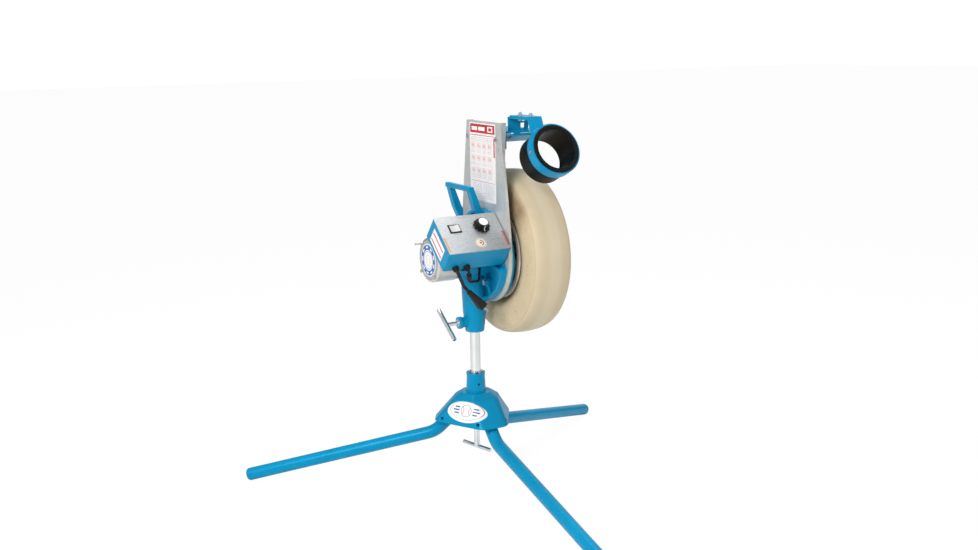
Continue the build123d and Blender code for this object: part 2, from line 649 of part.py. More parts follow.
out_1 = in_box(BOX_LENGTH - 12, CORD_AT[0][1]) + Vector(CORD_AT[0][0], 0, 0)
out_2 = in_box(BOX_LENGTH - 12, CORD_AT[1][1]) + Vector(CORD_AT[1][0], 0, 0)
step_out = Vector(*DOWN_PANEL)
PLUG_START = Vector(-66, -100, 517.5)
PLUG_DIR = Vector(37, 0, -41).normalized()
cord_points = [out_1, out_1 + step_out * 33, PLUG_START - PLUG_DIR * 20, PLUG_START + PLUG_DIR * 10]
save("power_cord", cable(cord_points, 4, 11))
plug_plane = Plane(origin=PLUG_START, x_dir=(0, 1, 0), z_dir=PLUG_DIR)
plug = plug_plane.location * loft([Circle(6.5), Pos(0, 0, 22) * RectangleRounded(20, 17, 6)])
plug_grip = loft([RectangleRounded(20, 17, 6), Pos(0, 0, 30) * RectangleRounded(27, 22, 5)])
plug += plug_plane.location * Pos(0, 0, 22) * plug_grip
plug -= plug_plane.location * Pos(0, 0, -1) * Cylinder(4.05, 14, align=STANDING)
blade_seats = [plug_plane.location * Pos(x, 0, 46) for x in (-6.35, 6.35)]
for seat in blade_seats:
    plug -= seat * Box(6.4, 1.7, 30, align=STANDING)
save("plug_body", plug)
blades = [seat * Box(6.3, 1.6, 22, align=STANDING) for seat in blade_seats]
save("plug_blades", *blades)

lead_mid = Vector(-68, -106, 543)
lead_low = Vector(-36, -94, 539)
lead_end = Vector(*LEAD_END)
lead_in = lead_end + Vector(*LEAD_OUT)
lead_turn = out_2 + step_out * 28
lead_dir = (lead_mid - lead_turn).normalized()
lead = cable([out_2, lead_turn, lead_mid, lead_low, lead_in, lead_end], 3, 10)
save("motor_lead", lead + rod(lead_turn + lead_dir * 11, lead_dir, 6.2, 16))


# --- throwing frame: side plate, bracket, pressure plate, chute -----------------------------------
def plate_outline(inset):
    """Tapered plate with a round lower end, in (y, z) from the axle."""
    top_z = 322 - inset
    top_y = 84 - inset
    hip_y = 121.5 - inset
    hip_z = 58.0
    low_y = PLATE_R - inset
    corners = [(low_y, 0), (hip_y, hip_z), (top_y, top_z), (-top_y, top_z), (-hip_y, hip_z), (-low_y, 0)]
    sides = Polyline(*corners)
    bottom = ThreePointArc((-low_y, 0), (0, -low_y), (low_y, 0))
    return make_face(sides + bottom)


def to_plate(face, x, thickness):
    """Stand a flat (y, z) face up across X at the axle."""
    upright = Plane(origin=(x, AXLE_Y, AXLE_Z), x_dir=(0, 1, 0), z_dir=(1, 0, 0))
    return upright.location * extrude(face, thickness)


def make_side_plate():
    web = to_plate(plate_outline(0), PLATE_X, PLATE_T)
    edge = to_plate(plate_outline(0), PLATE_X, 17) - to_plate(plate_outline(3), PLATE_X - 1, 20)
    edge -= block(0, 60, AXLE_Y - 79, AXLE_Y + 79, AXLE_Z + 300, AXLE_Z + 340)
    reach = [(20, 460), (34, 460), (34, 600), (30, 640), (30, 826), (41, 912), (20, 912)]
    edge &= front_profile(reach, -200, 200)
    plate = web + edge
    plate -= rod((20, AXLE_Y, AXLE_Z), X_AXIS, 30.06, 20)
    for angle in CLAMP_ANGLES:
        low, high = CLAMP_R - 4.6, CLAMP_R + 4.6
        window = make_face(Polyline((22, low), (22, high), (31, high), (31, low), close=True))
        slot = Rot(X=angle - SLOT_HALF) * revolve(window, Axis.X, 2 * SLOT_HALF)
        plate -= Pos(0, AXLE_Y, AXLE_Z) * slot
    for y, z in bracket_holes() + spare_holes():
        plate -= rod((20, y, z), X_AXIS, 3.3, 12)
    return plate


def bracket_holes():
    return [(-83, 870), (60, 870)]


def spare_holes():
    return [(-90, 846), (48, 846)]


PLATE_UNDER = TYRE_R + AXLE_Z + BALL_GAP      # underside of the pressure plate at the pinch
SHELF_Z = 884.0
TONGUE_Z = 917.0          # underside of the tongue that carries the chute arm
LEG_PLATE_X = 42.0


def make_bracket():
    """Welded bracket: leg plate, shelf over the wheel, upright with windows, tongue for the chute."""
    leg = side_profile(
        [(-91, 847), (68, 847), (68, SHELF_Z + 4), (-70, SHELF_Z + 4), (-82, 896), (-91, 896)],
        LEG_PLATE_X, LEG_PLATE_X + 4,
    )
    shelf = block(LEG_PLATE_X, 142, -91, 50, SHELF_Z, SHELF_Z + 4)
    shelf += block(66, 142, -100, -90, SHELF_Z, SHELF_Z + 4)
    top = TONGUE_Z + 4
    upright = block(56, 110, -84, -80, SHELF_Z + 2, top)
    upright -= block(89, 106, -86, -78, 893, 906)
    upright -= block(89, 106, -86, -78, 910, 915)
    shelf_top = SHELF_Z + 4
    gusset_outline = [(-80, top), (-80, shelf_top - 1), (-68, shelf_top - 1)]
    gusset_outline += [(-68, shelf_top + 2), (-76, top)]
    gusset = side_profile(gusset_outline, 106, 110)
    tongue = block(58, 95, -164, -76, TONGUE_Z, top)
    bracket = leg + shelf + upright + gusset + tongue
    for y, z in bracket_holes():
        bracket -= rod((30, y, z), X_AXIS, 3.3, 30)
    for x, y in pressure_bolt_points():
        bracket -= rod((x, y, 860), UP, 4.1, 40)
    for x, y in chute_bolt_points():
        bracket -= rod((x, y, 900), UP, 3.1, 30)
    return bracket


def pressure_bolt_points():
    return [(100, -48), (100, 26)]


def chute_bolt_points():
    return [(76, -105), (76, -153)]


def make_pressure_plate():
    """Bent plate over the wheel: an upturned lip, an entry ramp and a flat pinch."""
    low = PLATE_UNDER
    points = [
        (-100, 883), (-100, 877), (-60, low), (38, low), (62, low + 6), (62, low + 10), (38, low + 4),
        (-60, low + 4), (-96, 881), (-96, 883),
    ]
    plate = side_profile(points, 58, 142)
    front_corners = [e for e in plate.edges().filter_by(Axis.Z) if e.center().Y < -99]
    plate = fillet(front_corners, 3.5)
    for x, y in pressure_bolt_points():
        plate -= rod((x, y, 850), UP, 4.1, 40)
        plate -= Pos(x, y, low - 1) * Cone(8.2, 4.1, 4.2, align=STANDING)
    return plate


def chute_point(along, up=0.0, x=CHUTE_X):
    """Point on the chute: distance from the mouth along the axis, and up across it."""
    d = radians(CHUTE_DROP)
    y = CHUTE_MOUTH_Y + along * cos(d) + up * sin(d)
    return (x, y, CHUTE_MOUTH_Z - along * sin(d) + up * cos(d))


chute_dir = (0, cos(radians(CHUTE_DROP)), -sin(radians(CHUTE_DROP)))
RING_START = 3.0
RING_WIDTH = 25.0
RING_OUTER = CHUTE_R + 3.7


def make_chute_arm():
    """Flat strap bent down from the tongue, welded to the band that holds the chute."""
    band = rod(chute_point(RING_START), chute_dir, RING_OUTER, RING_WIDTH)
    d = radians(CHUTE_DROP)
    arm_plane = Plane(origin=chute_point(RING_START + RING_WIDTH - 4, 0, 76.5), x_dir=X_AXIS, z_dir=chute_dir)
    arm_level = TONGUE_Z + 4.05
    rise = (arm_level + 4 - arm_plane.origin.Z) / cos(d)
    strap_low = -rise if arm_plane.y_dir.Z < 0 else 40
    strap = Box(37, rise - 40, 4, align=(Align.CENTER, Align.MIN, Align.MIN))
    strap = arm_plane.location * Pos(0, strap_low, 0) * strap
    arm_top = chute_point(RING_START + RING_WIDTH - 4, rise)
    flange = block(58, 95, arm_top[1] - 0.5, -86, arm_level, arm_level + 4)
    arm = band + strap + flange
    arm -= block(50, 100, arm_top[1] - 60, arm_top[1] + 40, arm_level + 4, 960)
    arm -= rod(chute_point(-20), chute_dir, CHUTE_R + 0.05, 140)
    for x, y in chute_bolt_points():
        arm -= rod((x, y, 900), UP, 3.1, 30)
    for side in (-1, 1):
        arm -= rod(chute_point(15.5, 0, CHUTE_X + side * 50), (side, 0, 0), 2.1, 30)
    return arm


save("side_plate", make_side_plate())
save("instruction_label", block(PLATE_X - 0.4, PLATE_X - 0.05, -76, 52, 716, 904))
save("top_bracket", make_bracket())
save("pressure_plate", make_pressure_plate())
save("chute_arm", make_chute_arm())
chute = ring(chute_point(0), chute_dir, CHUTE_R, CHUTE_BORE_R, CHUTE_LENGTH)
chute = fillet(chute.edges().filter_by(GeomType.CIRCLE), 1.5)
for side in (-1, 1):
    chute -= rod(chute_point(15.5, 0, CHUTE_X + side * 50), (side, 0, 0), 2.05, 30)
save("ball_chute", chute)

chute_screws = []
for side in (-1, 1):
    head_at = Vector(*chute_point(15.5, 0, CHUTE_X + side * (RING_OUTER + 0.1)))
    inward = Vector(-side, 0, 0)
    screw = rod(head_at, inward, 2, 9) + rod(head_at - inward * 2, inward, 4, 2)
    chute_screws.append(screw - Pos(*(head_at - inward * 1.5)) * Box(1.2, 0.9, 7))
chute_bolts = [hex_bolt((x, y, TONGUE_Z - 0.1), UP, 3, 16, 10, 4.5) for x, y in chute_bolt_points()]
chute_nuts = [hex_nut((x, y, TONGUE_Z + 8.1), UP, 3, 10, 4.6) for x, y in chute_bolt_points()]
save("chute_fasteners", *chute_screws, *chute_bolts, *chute_nuts)

bracket_bolts = []
for y, z in bracket_holes():
    bracket_bolts.append(hex_bolt((PLATE_X - 0.05, y, z), X_AXIS, 3.2, 30, 10, 4))
    bracket_bolts.append(hex_nut((LEG_PLATE_X + 4.05, y, z), X_AXIS, 3.2, 10, 5))
    bracket_bolts.append(ring((PLATE_X + PLATE_T + 0.02, y, z), X_AXIS, 7, 3.3, 13.8))
save("bracket_bolts", *bracket_bolts)

spacer_height = SHELF_Z - PLATE_UNDER - 4
pressure_bolts = []
for x, y in pressure_bolt_points():
    head = Pos(x, y, PLATE_UNDER + 0.2) * Cone(6.9, 3.95, 3.0, align=STANDING)
    pressure_bolts.append(head + rod((x, y, PLATE_UNDER + 0.4), UP, 3.95, 32))
    pressure_bolts.append(hex_nut((x, y, SHELF_Z + 4.05), UP, 4, 13, 6.5))
    pressure_bolts.append(ring((x, y, PLATE_UNDER + 4.02), UP, 8, 4.1, spacer_height - 0.05))
save("pressure_plate_bolts", *pressure_bolts)


# --- wheel ----------------------------------------------------------------------------------------
PROFILE_X = 100.0         # middle of the wheel in the profiles below, before it goes on the shaft


def save_wheel_part(name, *solids):
    save(name, *[Pos(WHEEL_X - PROFILE_X, 0, 0) * solid for solid in solids])


def mirrored(points):
    """Profile points on the left of the wheel's middle plane, and their mirror images."""
    return points + [(2 * PROFILE_X - x, r) for x, r in reversed(points[:-1])]


def make_tyre():
    outer = mirrored(
        [(57.8, 112.6), (50.5, 128), (47, 150), (47.6, 172), (50.2, 186), (54.5, 194), (62, 198.4),
         (78, 201.6), (PROFILE_X, TYRE_R)]
    )
    inner = mirrored(
        [(63, 112.6), (57.5, 130), (54, 150), (54.6, 170), (57.5, 181), (64, 188), (78, 193),
         (PROFILE_X, TYRE_R - 7.8)]
    )
    skin = Spline(*outer)
    lining = Spline(*inner)
    toe = 69.0
    left_bead = Polyline(inner[0], (toe, BEAD_R + 3), (toe, BEAD_R), (57.8, BEAD_R), outer[0])
    far_toe = 2 * PROFILE_X - toe
    far_heel = 2 * PROFILE_X - 57.8
    right_bead = Polyline(inner[-1], (far_toe, BEAD_R + 3), (far_toe, BEAD_R), (far_heel, BEAD_R), outer[-1])
    outline = make_face(skin + lining + left_bead + right_bead)
    return Pos(0, AXLE_Y, AXLE_Z) * revolve(outline, Axis.X)


def make_rim():
    half = [(57.6, 101.6), (57.6, 111), (56.6, 112), (55, 112), (54, 111), (54, 98.6)]
    outer = [(57.6, 101.6), (70, 101.6), (79, 86), (121, 86), (130, 101.6), (142.4, 101.6)]
    right = [(2 * PROFILE_X - x, r) for x, r in half[1:]]
    inner = [(131.5, 98.6), (122.5, 83), (77.5, 83), (68.5, 98.6)]
    barrel = turned(*(outer + right + inner + list(reversed(half))[:-1]))
    dish = turned((116.1, 22.3), (116.1, 60), (112, 84), (115.5, 84), (119.1, 60), (119.1, 22.3))
    rim = barrel + dish
    for angle in wheel_bolt_angles():
        rim -= rod(around_axle(110, 36, angle), X_AXIS, 4.15, 12)
    rim -= rod(around_axle(75, 78, 30), around_axle_direction(30), 4.1, 30)
    for i in range(6):
        rim -= rod(around_axle(100, 68, 60 * i), X_AXIS, 7.5, 25)
    return rim


def around_axle_direction(angle):
    a = radians(angle)
    return (0.45, cos(a), sin(a))


def wheel_bolt_angles():
    return [45 + 90 * i for i in range(4)]


save_wheel_part("tyre", make_tyre())
save_wheel_part("wheel_rim", make_rim())
hub = turned(
    (90, 8.55), (90, 20), (92, 22), (107, 22), (108, 24), (108, 48), (116.05, 48), (116.05, 22.2),
    (132, 22.2), (134, 20), (134, 8.55),
)
for wheel_angle in wheel_bolt_angles():
    hub -= rod(around_axle(100, 36, wheel_angle), X_AXIS, 4.15, 20)
hub -= block(85, 140, AXLE_Y - 2.5, AXLE_Y + 2.5, AXLE_Z + 5.5, AXLE_Z + 11)
save_wheel_part("wheel_hub", hub)
wheel_bolts = [hex_bolt(around_axle(119.15, 36, a), LEFT, 4, 20, 13, 5.5) for a in wheel_bolt_angles()]
wheel_nuts = [hex_nut(around_axle(107.95, 36, a), LEFT, 4, 13, 6.5) for a in wheel_bolt_angles()]
save_wheel_part("wheel_bolts", *wheel_bolts, *wheel_nuts)
shaft_key = block(110.2, 129.8, AXLE_Y - 2.4, AXLE_Y + 2.4, AXLE_Z + 5.6, AXLE_Z + 10.9)
save_wheel_part("axle_nut_and_key", hex_nut((134.1, AXLE_Y, AXLE_Z), X_AXIS, 8.5, 26, 9), shaft_key)
stem_at = Vector(*around_axle(75, 78, 30))
stem_dir = Vector(*around_axle_direction(30)).normalized()
stem = rod(stem_at - stem_dir * 16, stem_dir, 3.2, 26) + rod(stem_at - stem_dir * 2, stem_dir, 4.05, 6)
save_wheel_part("valve_stem", stem)
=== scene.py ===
import json
from math import cos, pi, radians, sin, sqrt

import bmesh
import bpy
from mathutils import Matrix, Vector, noise


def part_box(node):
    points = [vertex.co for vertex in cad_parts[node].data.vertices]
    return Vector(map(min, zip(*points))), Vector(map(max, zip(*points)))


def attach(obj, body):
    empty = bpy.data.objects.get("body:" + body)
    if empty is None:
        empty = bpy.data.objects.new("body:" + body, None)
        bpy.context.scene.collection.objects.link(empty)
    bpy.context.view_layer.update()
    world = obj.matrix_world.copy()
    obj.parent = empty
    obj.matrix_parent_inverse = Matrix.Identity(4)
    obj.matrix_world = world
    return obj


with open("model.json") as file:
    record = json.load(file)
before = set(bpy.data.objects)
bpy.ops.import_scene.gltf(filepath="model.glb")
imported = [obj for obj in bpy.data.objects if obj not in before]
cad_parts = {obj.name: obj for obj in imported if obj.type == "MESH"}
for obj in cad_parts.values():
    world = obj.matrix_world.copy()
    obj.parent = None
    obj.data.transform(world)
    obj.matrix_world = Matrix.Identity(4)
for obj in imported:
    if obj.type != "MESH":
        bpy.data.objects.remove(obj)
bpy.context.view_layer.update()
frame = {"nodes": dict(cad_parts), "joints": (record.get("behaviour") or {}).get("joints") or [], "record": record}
nodes = frame["nodes"]
joints = {joint["name"]: joint for joint in frame["joints"]}

AXLE = Vector(joints["wheel_spin"]["pos_m"])
KNOB = Vector(joints["speed_dial"]["pos_m"])
PANEL_UP = Vector(joints["power_switch"]["axis"]).normalized()       # up the slope of the panel
PANEL_OUT = -Vector(joints["speed_dial"]["axis"]).normalized()       # out of the panel
BAND_OUTER = 0.0612               # band round the chute, and the strap welded to it
STRAP_LEFT = 0.0595
STRAP_RIGHT = 0.0945
STRAP_FRONT = 0.0140              # from the middle of the chute's bore towards its mouth
X_AXIS = (1, 0, 0)
Y_AXIS = (0, 1, 0)
Z_AXIS = (0, 0, 1)
WHITE = (0.90, 0.90, 0.88)
AMBIENT = 0.46                    # diffuse light from the white room
FLOOR_GLOW = 0.93                 # share of the floor's look that ignores shadows
INK = (0.035, 0.04, 0.05)
RED = (0.62, 0.03, 0.035)
BLUE_INK = (0.005, 0.06, 0.26)
BADGE_FACING = radians(209.3)     # azimuth of the hub face that carries the badge
BADGE_LEAN = 26 / 57              # how far that face leans back
BADGE_SQUASH = 53 / 26            # width of the badge's oval over its height
PAINT_GLINT = (0.10, 0.62, 1.0)   # tint of the blue enamel's highlights
BACKDROP_GLOW = 1.02              # just over white, so that the room clips to white
CAMERA_PLACE = (-1.2566, -2.4027, 1.1002)
CAMERA_TURN = radians(-28.4)
CAMERA_PITCH = radians(11.82)
CAMERA_ROLL = radians(0.97)
CAMERA_LENS = 41.45               # on a 36 mm sensor


# --- node graphs ----------------------------------------------------------------------------------
class Graph:
    """A node material under construction, with short names for the nodes it is built from."""

    def __init__(self, name):
        self.material = bpy.data.materials.new(name)
        self.material.use_nodes = True
        self.tree = self.material.node_tree
        self.shader = next(n for n in self.tree.nodes if n.type == "BSDF_PRINCIPLED")
        coordinates = self.tree.nodes.new("ShaderNodeTexCoord")
        self.position = coordinates.outputs["Object"]

    def link(self, value, socket):
        if isinstance(value, bpy.types.NodeSocket):
            self.tree.links.new(value, socket)
        elif isinstance(value, (tuple, list)) and socket.type == "RGBA":
            socket.default_value = (*value[:3], 1)
        elif isinstance(value, (tuple, list, Vector)):
            socket.default_value = tuple(value)
        else:
            socket.default_value = value

    def math(self, operation, a, b=0.0, c=0.0, clamp=False):
        node = self.tree.nodes.new("ShaderNodeMath")
        node.operation = operation
        node.use_clamp = clamp
        for value, socket in zip((a, b, c), node.inputs):
            self.link(value, socket)
        return node.outputs[0]

    def vector(self, operation, a, b=(0, 0, 0)):
        node = self.tree.nodes.new("ShaderNodeVectorMath")
        node.operation = operation
        self.link(a, node.inputs[0])
        self.link(b, node.inputs[1])
        return node.outputs["Value"] if operation in ("DOT_PRODUCT", "LENGTH") else node.outputs[0]

    def mix(self, factor, a, b):
        node = self.tree.nodes.new("ShaderNodeMix")
        node.data_type = "RGBA"
        self.link(factor, node.inputs[0])
        self.link(a, node.inputs[6])
        self.link(b, node.inputs[7])
        return node.outputs[2]

    def noise(self, scale, detail=3.0, roughness=0.55, vector=None):
        node = self.tree.nodes.new("ShaderNodeTexNoise")
        self.link(self.position if vector is None else vector, node.inputs["Vector"])
        node.inputs["Scale"].default_value = scale
        node.inputs["Detail"].default_value = detail
        node.inputs["Roughness"].default_value = roughness
        return node.outputs[0]

    def spots(self, scale, vector=None):
        node = self.tree.nodes.new("ShaderNodeTexVoronoi")
        self.link(self.position if vector is None else vector, node.inputs["Vector"])
        node.inputs["Scale"].default_value = scale
        return node.outputs["Distance"]

    def stretched(self, direction_scales):
        """Position scaled differently along each axis, for brushed and drawn surfaces."""
        return self.vector("MULTIPLY", self.position, direction_scales)

    def band(self, value, low, high, soft=0.0004):
        """1 where value lies between low and high, with a soft edge."""
        rise = self.math("MULTIPLY_ADD", value, 1 / soft, -low / soft, clamp=True)
        fall = self.math("MULTIPLY_ADD", value, -1 / soft, high / soft, clamp=True)
        return self.math("MULTIPLY", rise, fall)

    def above(self, value, threshold, soft):
        return self.math("MULTIPLY_ADD", value, 1 / soft, -threshold / soft + 0.5, clamp=True)

    def edges(self, radius):
        """1 on edges and corners, from the difference between true and rounded normals."""
        bevel = self.tree.nodes.new("ShaderNodeBevel")
        bevel.samples = 4
        bevel.inputs["Radius"].default_value = radius
        geometry = self.tree.nodes.new("ShaderNodeNewGeometry")
        same = self.vector("DOT_PRODUCT", bevel.outputs[0], geometry.outputs["Normal"])
        return self.math("MULTIPLY_ADD", same, -6.0, 5.85, clamp=True), bevel.outputs[0]

    def bump(self, height, strength, distance, normal=None):
        node = self.tree.nodes.new("ShaderNodeBump")
        node.inputs["Strength"].default_value = strength
        node.inputs["Distance"].default_value = distance
        self.link(height, node.inputs["Height"])
        if normal is not None:
            self.link(normal, node.inputs["Normal"])
        return node.outputs[0]

    def finish(self, colour, rough, metal=0.0, normal=None, **more):
        self.link(colour, self.shader.inputs["Base Color"])
        self.link(rough, self.shader.inputs["Roughness"])
        self.link(metal, self.shader.inputs["Metallic"])
        if normal is not None:
            self.link(normal, self.shader.inputs["Normal"])
        for name, value in more.items():
            self.link(value, self.shader.inputs[name.replace("_", " ")])
        return self.material


def varied(g, colour, amount, scale):
    """The colour, a little lighter and darker in soft patches."""
    darker = tuple(c * (1 - amount) for c in colour)
    lighter = tuple(min(1.0, c * (1 + amount)) for c in colour)
    return g.mix(g.noise(scale, 4.0), darker, lighter)


def levels(g, value, low, high):
    """A 0 to 1 value spread between low and high."""
    return g.math("MULTIPLY_ADD", value, high - low, low)


# --- materials ------------------------------------------------------------------------------------
def paint(name, colour, grain, grain_depth, rounding, wear=0.35):
    """Sprayed enamel: soft edges with a painted highlight along them, orange peel or cast grain, rubbed corners
    and dusty patches.
    """
    g = Graph(name)
    edge, rounded = g.edges(rounding)
    base = varied(g, colour, 0.14, 14)
    # Edges painted lighter: a painted highlight along every edge.
    lighter = tuple(c * 1.35 for c in colour)
    base = g.mix(g.math("MULTIPLY", edge, 0.55), base, lighter)
    patches = g.above(g.noise(70, 5.0, 0.65), 0.60, 0.12)
    worn = g.math("MULTIPLY", g.math("MULTIPLY", edge, patches), wear)
    base = g.mix(worn, base, (0.12, 0.22, 0.30))
    dust = g.math("MULTIPLY", g.above(g.noise(38, 6.0, 0.7), 0.62, 0.22), 0.10)
    base = g.mix(dust, base, (0.02, 0.13, 0.22))
    rough = levels(g, g.noise(90, 4.0), 0.24, 0.44)
    normal = g.bump(g.noise(grain, 3.0), 0.35, grain_depth, rounded)
    sheen = {"Specular_Tint": PAINT_GLINT, "Coat_Weight": 0.06, "Coat_Roughness": 0.15}
    return g.finish(base, rough, 0.0, normal, **sheen)


def metal(name, colour, rough_low, rough_high, grain_scales, depth=0.00002, tarnish=0.25):
    """Bare or plated metal with drawn or brushed grain and finger smudges."""
    g = Graph(name)
    rounded = g.edges(0.0006)[1]
    grain = g.noise(1.0, 4.0, 0.6, g.stretched(grain_scales))
    smudge = g.above(g.noise(45, 5.0, 0.6), 0.50, 0.30)
    base = g.mix(g.math("MULTIPLY", smudge, tarnish), colour, tuple(c * 0.62 for c in colour))
    base = g.mix(g.math("MULTIPLY", grain, 0.22), base, tuple(min(1, c * 1.12) for c in colour))
    rough = g.math("ADD", levels(g, grain, rough_low, rough_high), g.math("MULTIPLY", smudge, 0.06))
    normal = g.bump(grain, 0.4, depth, rounded)
    return g.finish(base, rough, 1.0, normal)


def moulded(name, colour, rough_low, rough_high, grain=900, depth=0.00004, shine=0.35):
    """Moulded plastic or rubber with a fine spark-eroded grain, handling shine and a painted highlight along the
    edges.
    """
    g = Graph(name)
    edge, rounded = g.edges(0.0007)
    base = varied(g, colour, 0.16, 35)
    scuffs = g.above(g.noise(120, 6.0, 0.7), 0.62, 0.10)
    base = g.mix(g.math("MULTIPLY", scuffs, 0.10), base, tuple(min(1, c + 0.05) for c in colour))
    # Edges painted lighter: a painted highlight along the edges.
    base = g.mix(g.math("MULTIPLY", edge, 0.25), base, tuple(min(1, c * 1.4 + 0.02) for c in colour))
    rough = levels(g, g.noise(60, 4.0), rough_low, rough_high)
    normal = g.bump(g.noise(grain, 2.0), 0.3, depth, rounded)
    return g.finish(base, rough, 0.0, normal, Specular_IOR_Level=shine)


def wheel_radius(g):
    """Distance from the wheel's axis."""
    offset = g.vector("SUBTRACT", g.position, tuple(AXLE))
    return g.vector("LENGTH", g.vector("MULTIPLY", offset, (0, 1, 1)))


def tyre_rubber():
    """Tan rubber: a lighter band round the middle of the tread, brown dirt by the bead with painted shade where it
    meets the rim, a painted shadow of the side plate streaked with dirt, dark specks and a painted shade line at
    the shoulder.
    """
    g = Graph("tan_tyre_rubber")
    radius = wheel_radius(g)
    blotches = g.noise(26, 6.0, 0.65)
    wall = g.mix(blotches, (0.52, 0.41, 0.25), (0.68, 0.57, 0.38))
    tread = g.mix(g.noise(18, 5.0, 0.6), (0.56, 0.46, 0.30), (0.66, 0.56, 0.39))
    base = g.mix(g.above(radius, 0.190, 0.010), wall, tread)
    offset = g.vector("SUBTRACT", g.position, tuple(AXLE))
    across, forward, height = (g.vector("DOT_PRODUCT", offset, axis) for axis in (X_AXIS, Y_AXIS, Z_AXIS))
    # Lighter band round the middle of the tread's crown, all the way round.
    lane = g.math("MULTIPLY", g.band(across, -0.022, 0.022, 0.012), g.above(radius, 0.199, 0.003))
    base = g.mix(g.math("MULTIPLY", lane, 0.35), base, (0.74, 0.66, 0.50))
    dirt_reach = g.math("SUBTRACT", radius, g.math("MULTIPLY", g.noise(32, 6.0, 0.7), 0.060))
    dirt = g.math("SUBTRACT", 1.0, g.above(dirt_reach, 0.094, 0.030))
    base = g.mix(g.math("MULTIPLY", dirt, 0.80), base, (0.155, 0.085, 0.045))
    # Dark brown ring where the tyre meets the rim: dirt, and painted shade in that crease.
    near_bead = g.math("SUBTRACT", 1.0, g.above(radius, 0.121, 0.012))
    base = g.mix(g.math("MULTIPLY", near_bead, 0.6), base, (0.10, 0.055, 0.030))
    # Dark brown wedge above the axle towards -Y: painted shadow of the side plate, broken up by dirt streaks.
    angle = g.math("ARCTAN2", height, forward)
    plate_shadow_and_dirt = g.math("MULTIPLY", g.band(angle, 1.75, 2.70, 0.30), g.band(radius, 0.112, 0.200, 0.020))
    streaks = levels(g, g.above(g.noise(16, 6.0, 0.65), 0.42, 0.30), 0.25, 0.75)
    base = g.mix(g.math("MULTIPLY", plate_shadow_and_dirt, streaks), base, (0.22, 0.13, 0.065))
    speck = g.math("SUBTRACT", 1.0, g.above(g.spots(95), 0.16, 0.06))
    speck_zone = g.math("MULTIPLY", g.above(g.noise(20, 3.0), 0.54, 0.10), g.band(radius, 0.11, 0.186, 0.01))
    base = g.mix(g.math("MULTIPLY", g.math("MULTIPLY", speck, speck_zone), 0.6), base, (0.12, 0.07, 0.04))
    # Thin dark ring at the crease between sidewall and tread: painted shade in the crease.
    shoulder = g.band(radius, 0.1865, 0.1905, 0.0015)
    base = g.mix(g.math("MULTIPLY", shoulder, 0.25), base, (0.30, 0.21, 0.12))
    rough = levels(g, g.noise(60, 5.0), 0.50, 0.72)
    fine = g.math("ADD", g.noise(650, 3.0), g.math("MULTIPLY", g.noise(110, 4.0), 0.8))
    return g.finish(base, rough, 0.0, g.bump(fine, 0.35, 0.00025), Specular_IOR_Level=0.3)


def rim_enamel():
    """Cream enamel with patches of brown dust, heavier towards the middle of the rim."""
    g = Graph("cream_rim_enamel")
    radius = wheel_radius(g)
    edge, rounded = g.edges(0.001)
    base = varied(g, (0.74, 0.68, 0.57), 0.08, 30)
    dust = g.above(g.noise(55, 6.0, 0.7), 0.50, 0.20)
    # Dust patches count for more inside radius 0.104 m, deeper in the rim.
    inner = g.math("SUBTRACT", 1.0, g.above(radius, 0.104, 0.012))
    dust_share = g.math("MULTIPLY", dust, g.math("MULTIPLY_ADD", inner, 0.45, 0.20))
    base = g.mix(dust_share, base, (0.30, 0.21, 0.13))
    chips = g.math("MULTIPLY", edge, g.above(g.noise(160, 4.0), 0.58, 0.06))
    base = g.mix(chips, base, (0.20, 0.15, 0.11))
    rough = levels(g, g.noise(70), 0.28, 0.50)
    return g.finish(base, rough, 0.0, g.bump(g.noise(500, 3.0), 0.25, 0.00005, rounded))


def plate_aluminium():
    """Mill-finish plate with vertical drawing marks, smudges and a few ball marks."""
    g = Graph("mill_aluminium_plate")
    rounded = g.edges(0.0008)[1]
    grain = g.noise(1.0, 5.0, 0.62, g.stretched((900, 900, 28)))
    cloud = g.noise(13, 6.0, 0.62)
    base = g.mix(cloud, (0.60, 0.62, 0.61), (0.78, 0.79, 0.77))
    marks = g.above(g.noise(48, 7.0, 0.7), 0.60, 0.12)
    base = g.mix(g.math("MULTIPLY", marks, 0.30), base, (0.36, 0.37, 0.37))
    rough = g.math("ADD", levels(g, grain, 0.30, 0.50), g.math("MULTIPLY", marks, 0.12))
    return g.finish(base, rough, 0.60, g.bump(grain, 0.45, 0.00004, rounded))


def panel_lid():
    """Brushed lid with print: tick ring round the knob and fine scale lines."""
    g = Graph("brushed_panel_lid")
    rounded = g.edges(0.0008)[1]
    grain = g.noise(1.0, 5.0, 0.65, g.stretched((26, 900, 900)))
    base = g.mix(g.noise(16, 5.0, 0.6), (0.34, 0.36, 0.37), (0.47, 0.49, 0.50))
    base = g.mix(g.math("MULTIPLY", grain, 0.35), base, (0.60, 0.62, 0.63))
    mottle = g.above(g.noise(150, 6.0, 0.75), 0.56, 0.16)
    base = g.mix(g.math("MULTIPLY", mottle, 0.30), base, (0.20, 0.21, 0.22))
    across, up = panel_plane(g, KNOB)
    reach = g.math("SQRT", g.math("ADD", g.math("MULTIPLY", across, across), g.math("MULTIPLY", up, up)))
    angle = g.math("ARCTAN2", across, up)
    tick = g.above(g.math("COSINE", g.math("MULTIPLY", angle, 12.0)), 0.93, 0.04)
    open_side = g.above(g.math("ABSOLUTE", angle), 2.75, 0.02)
    ticks = g.math("MULTIPLY", tick, g.band(reach, 0.0222, 0.0246))
    ticks = g.math("MULTIPLY", ticks, g.math("SUBTRACT", 1.0, open_side))
    print_mask = g.math("MAXIMUM", ticks, scale_lines(g))
    base = g.mix(g.math("MULTIPLY", print_mask, 0.85), base, INK)
    rough = levels(g, grain, 0.26, 0.42)
    return g.finish(base, rough, 0.62, g.bump(grain, 0.4, 0.00003, rounded))


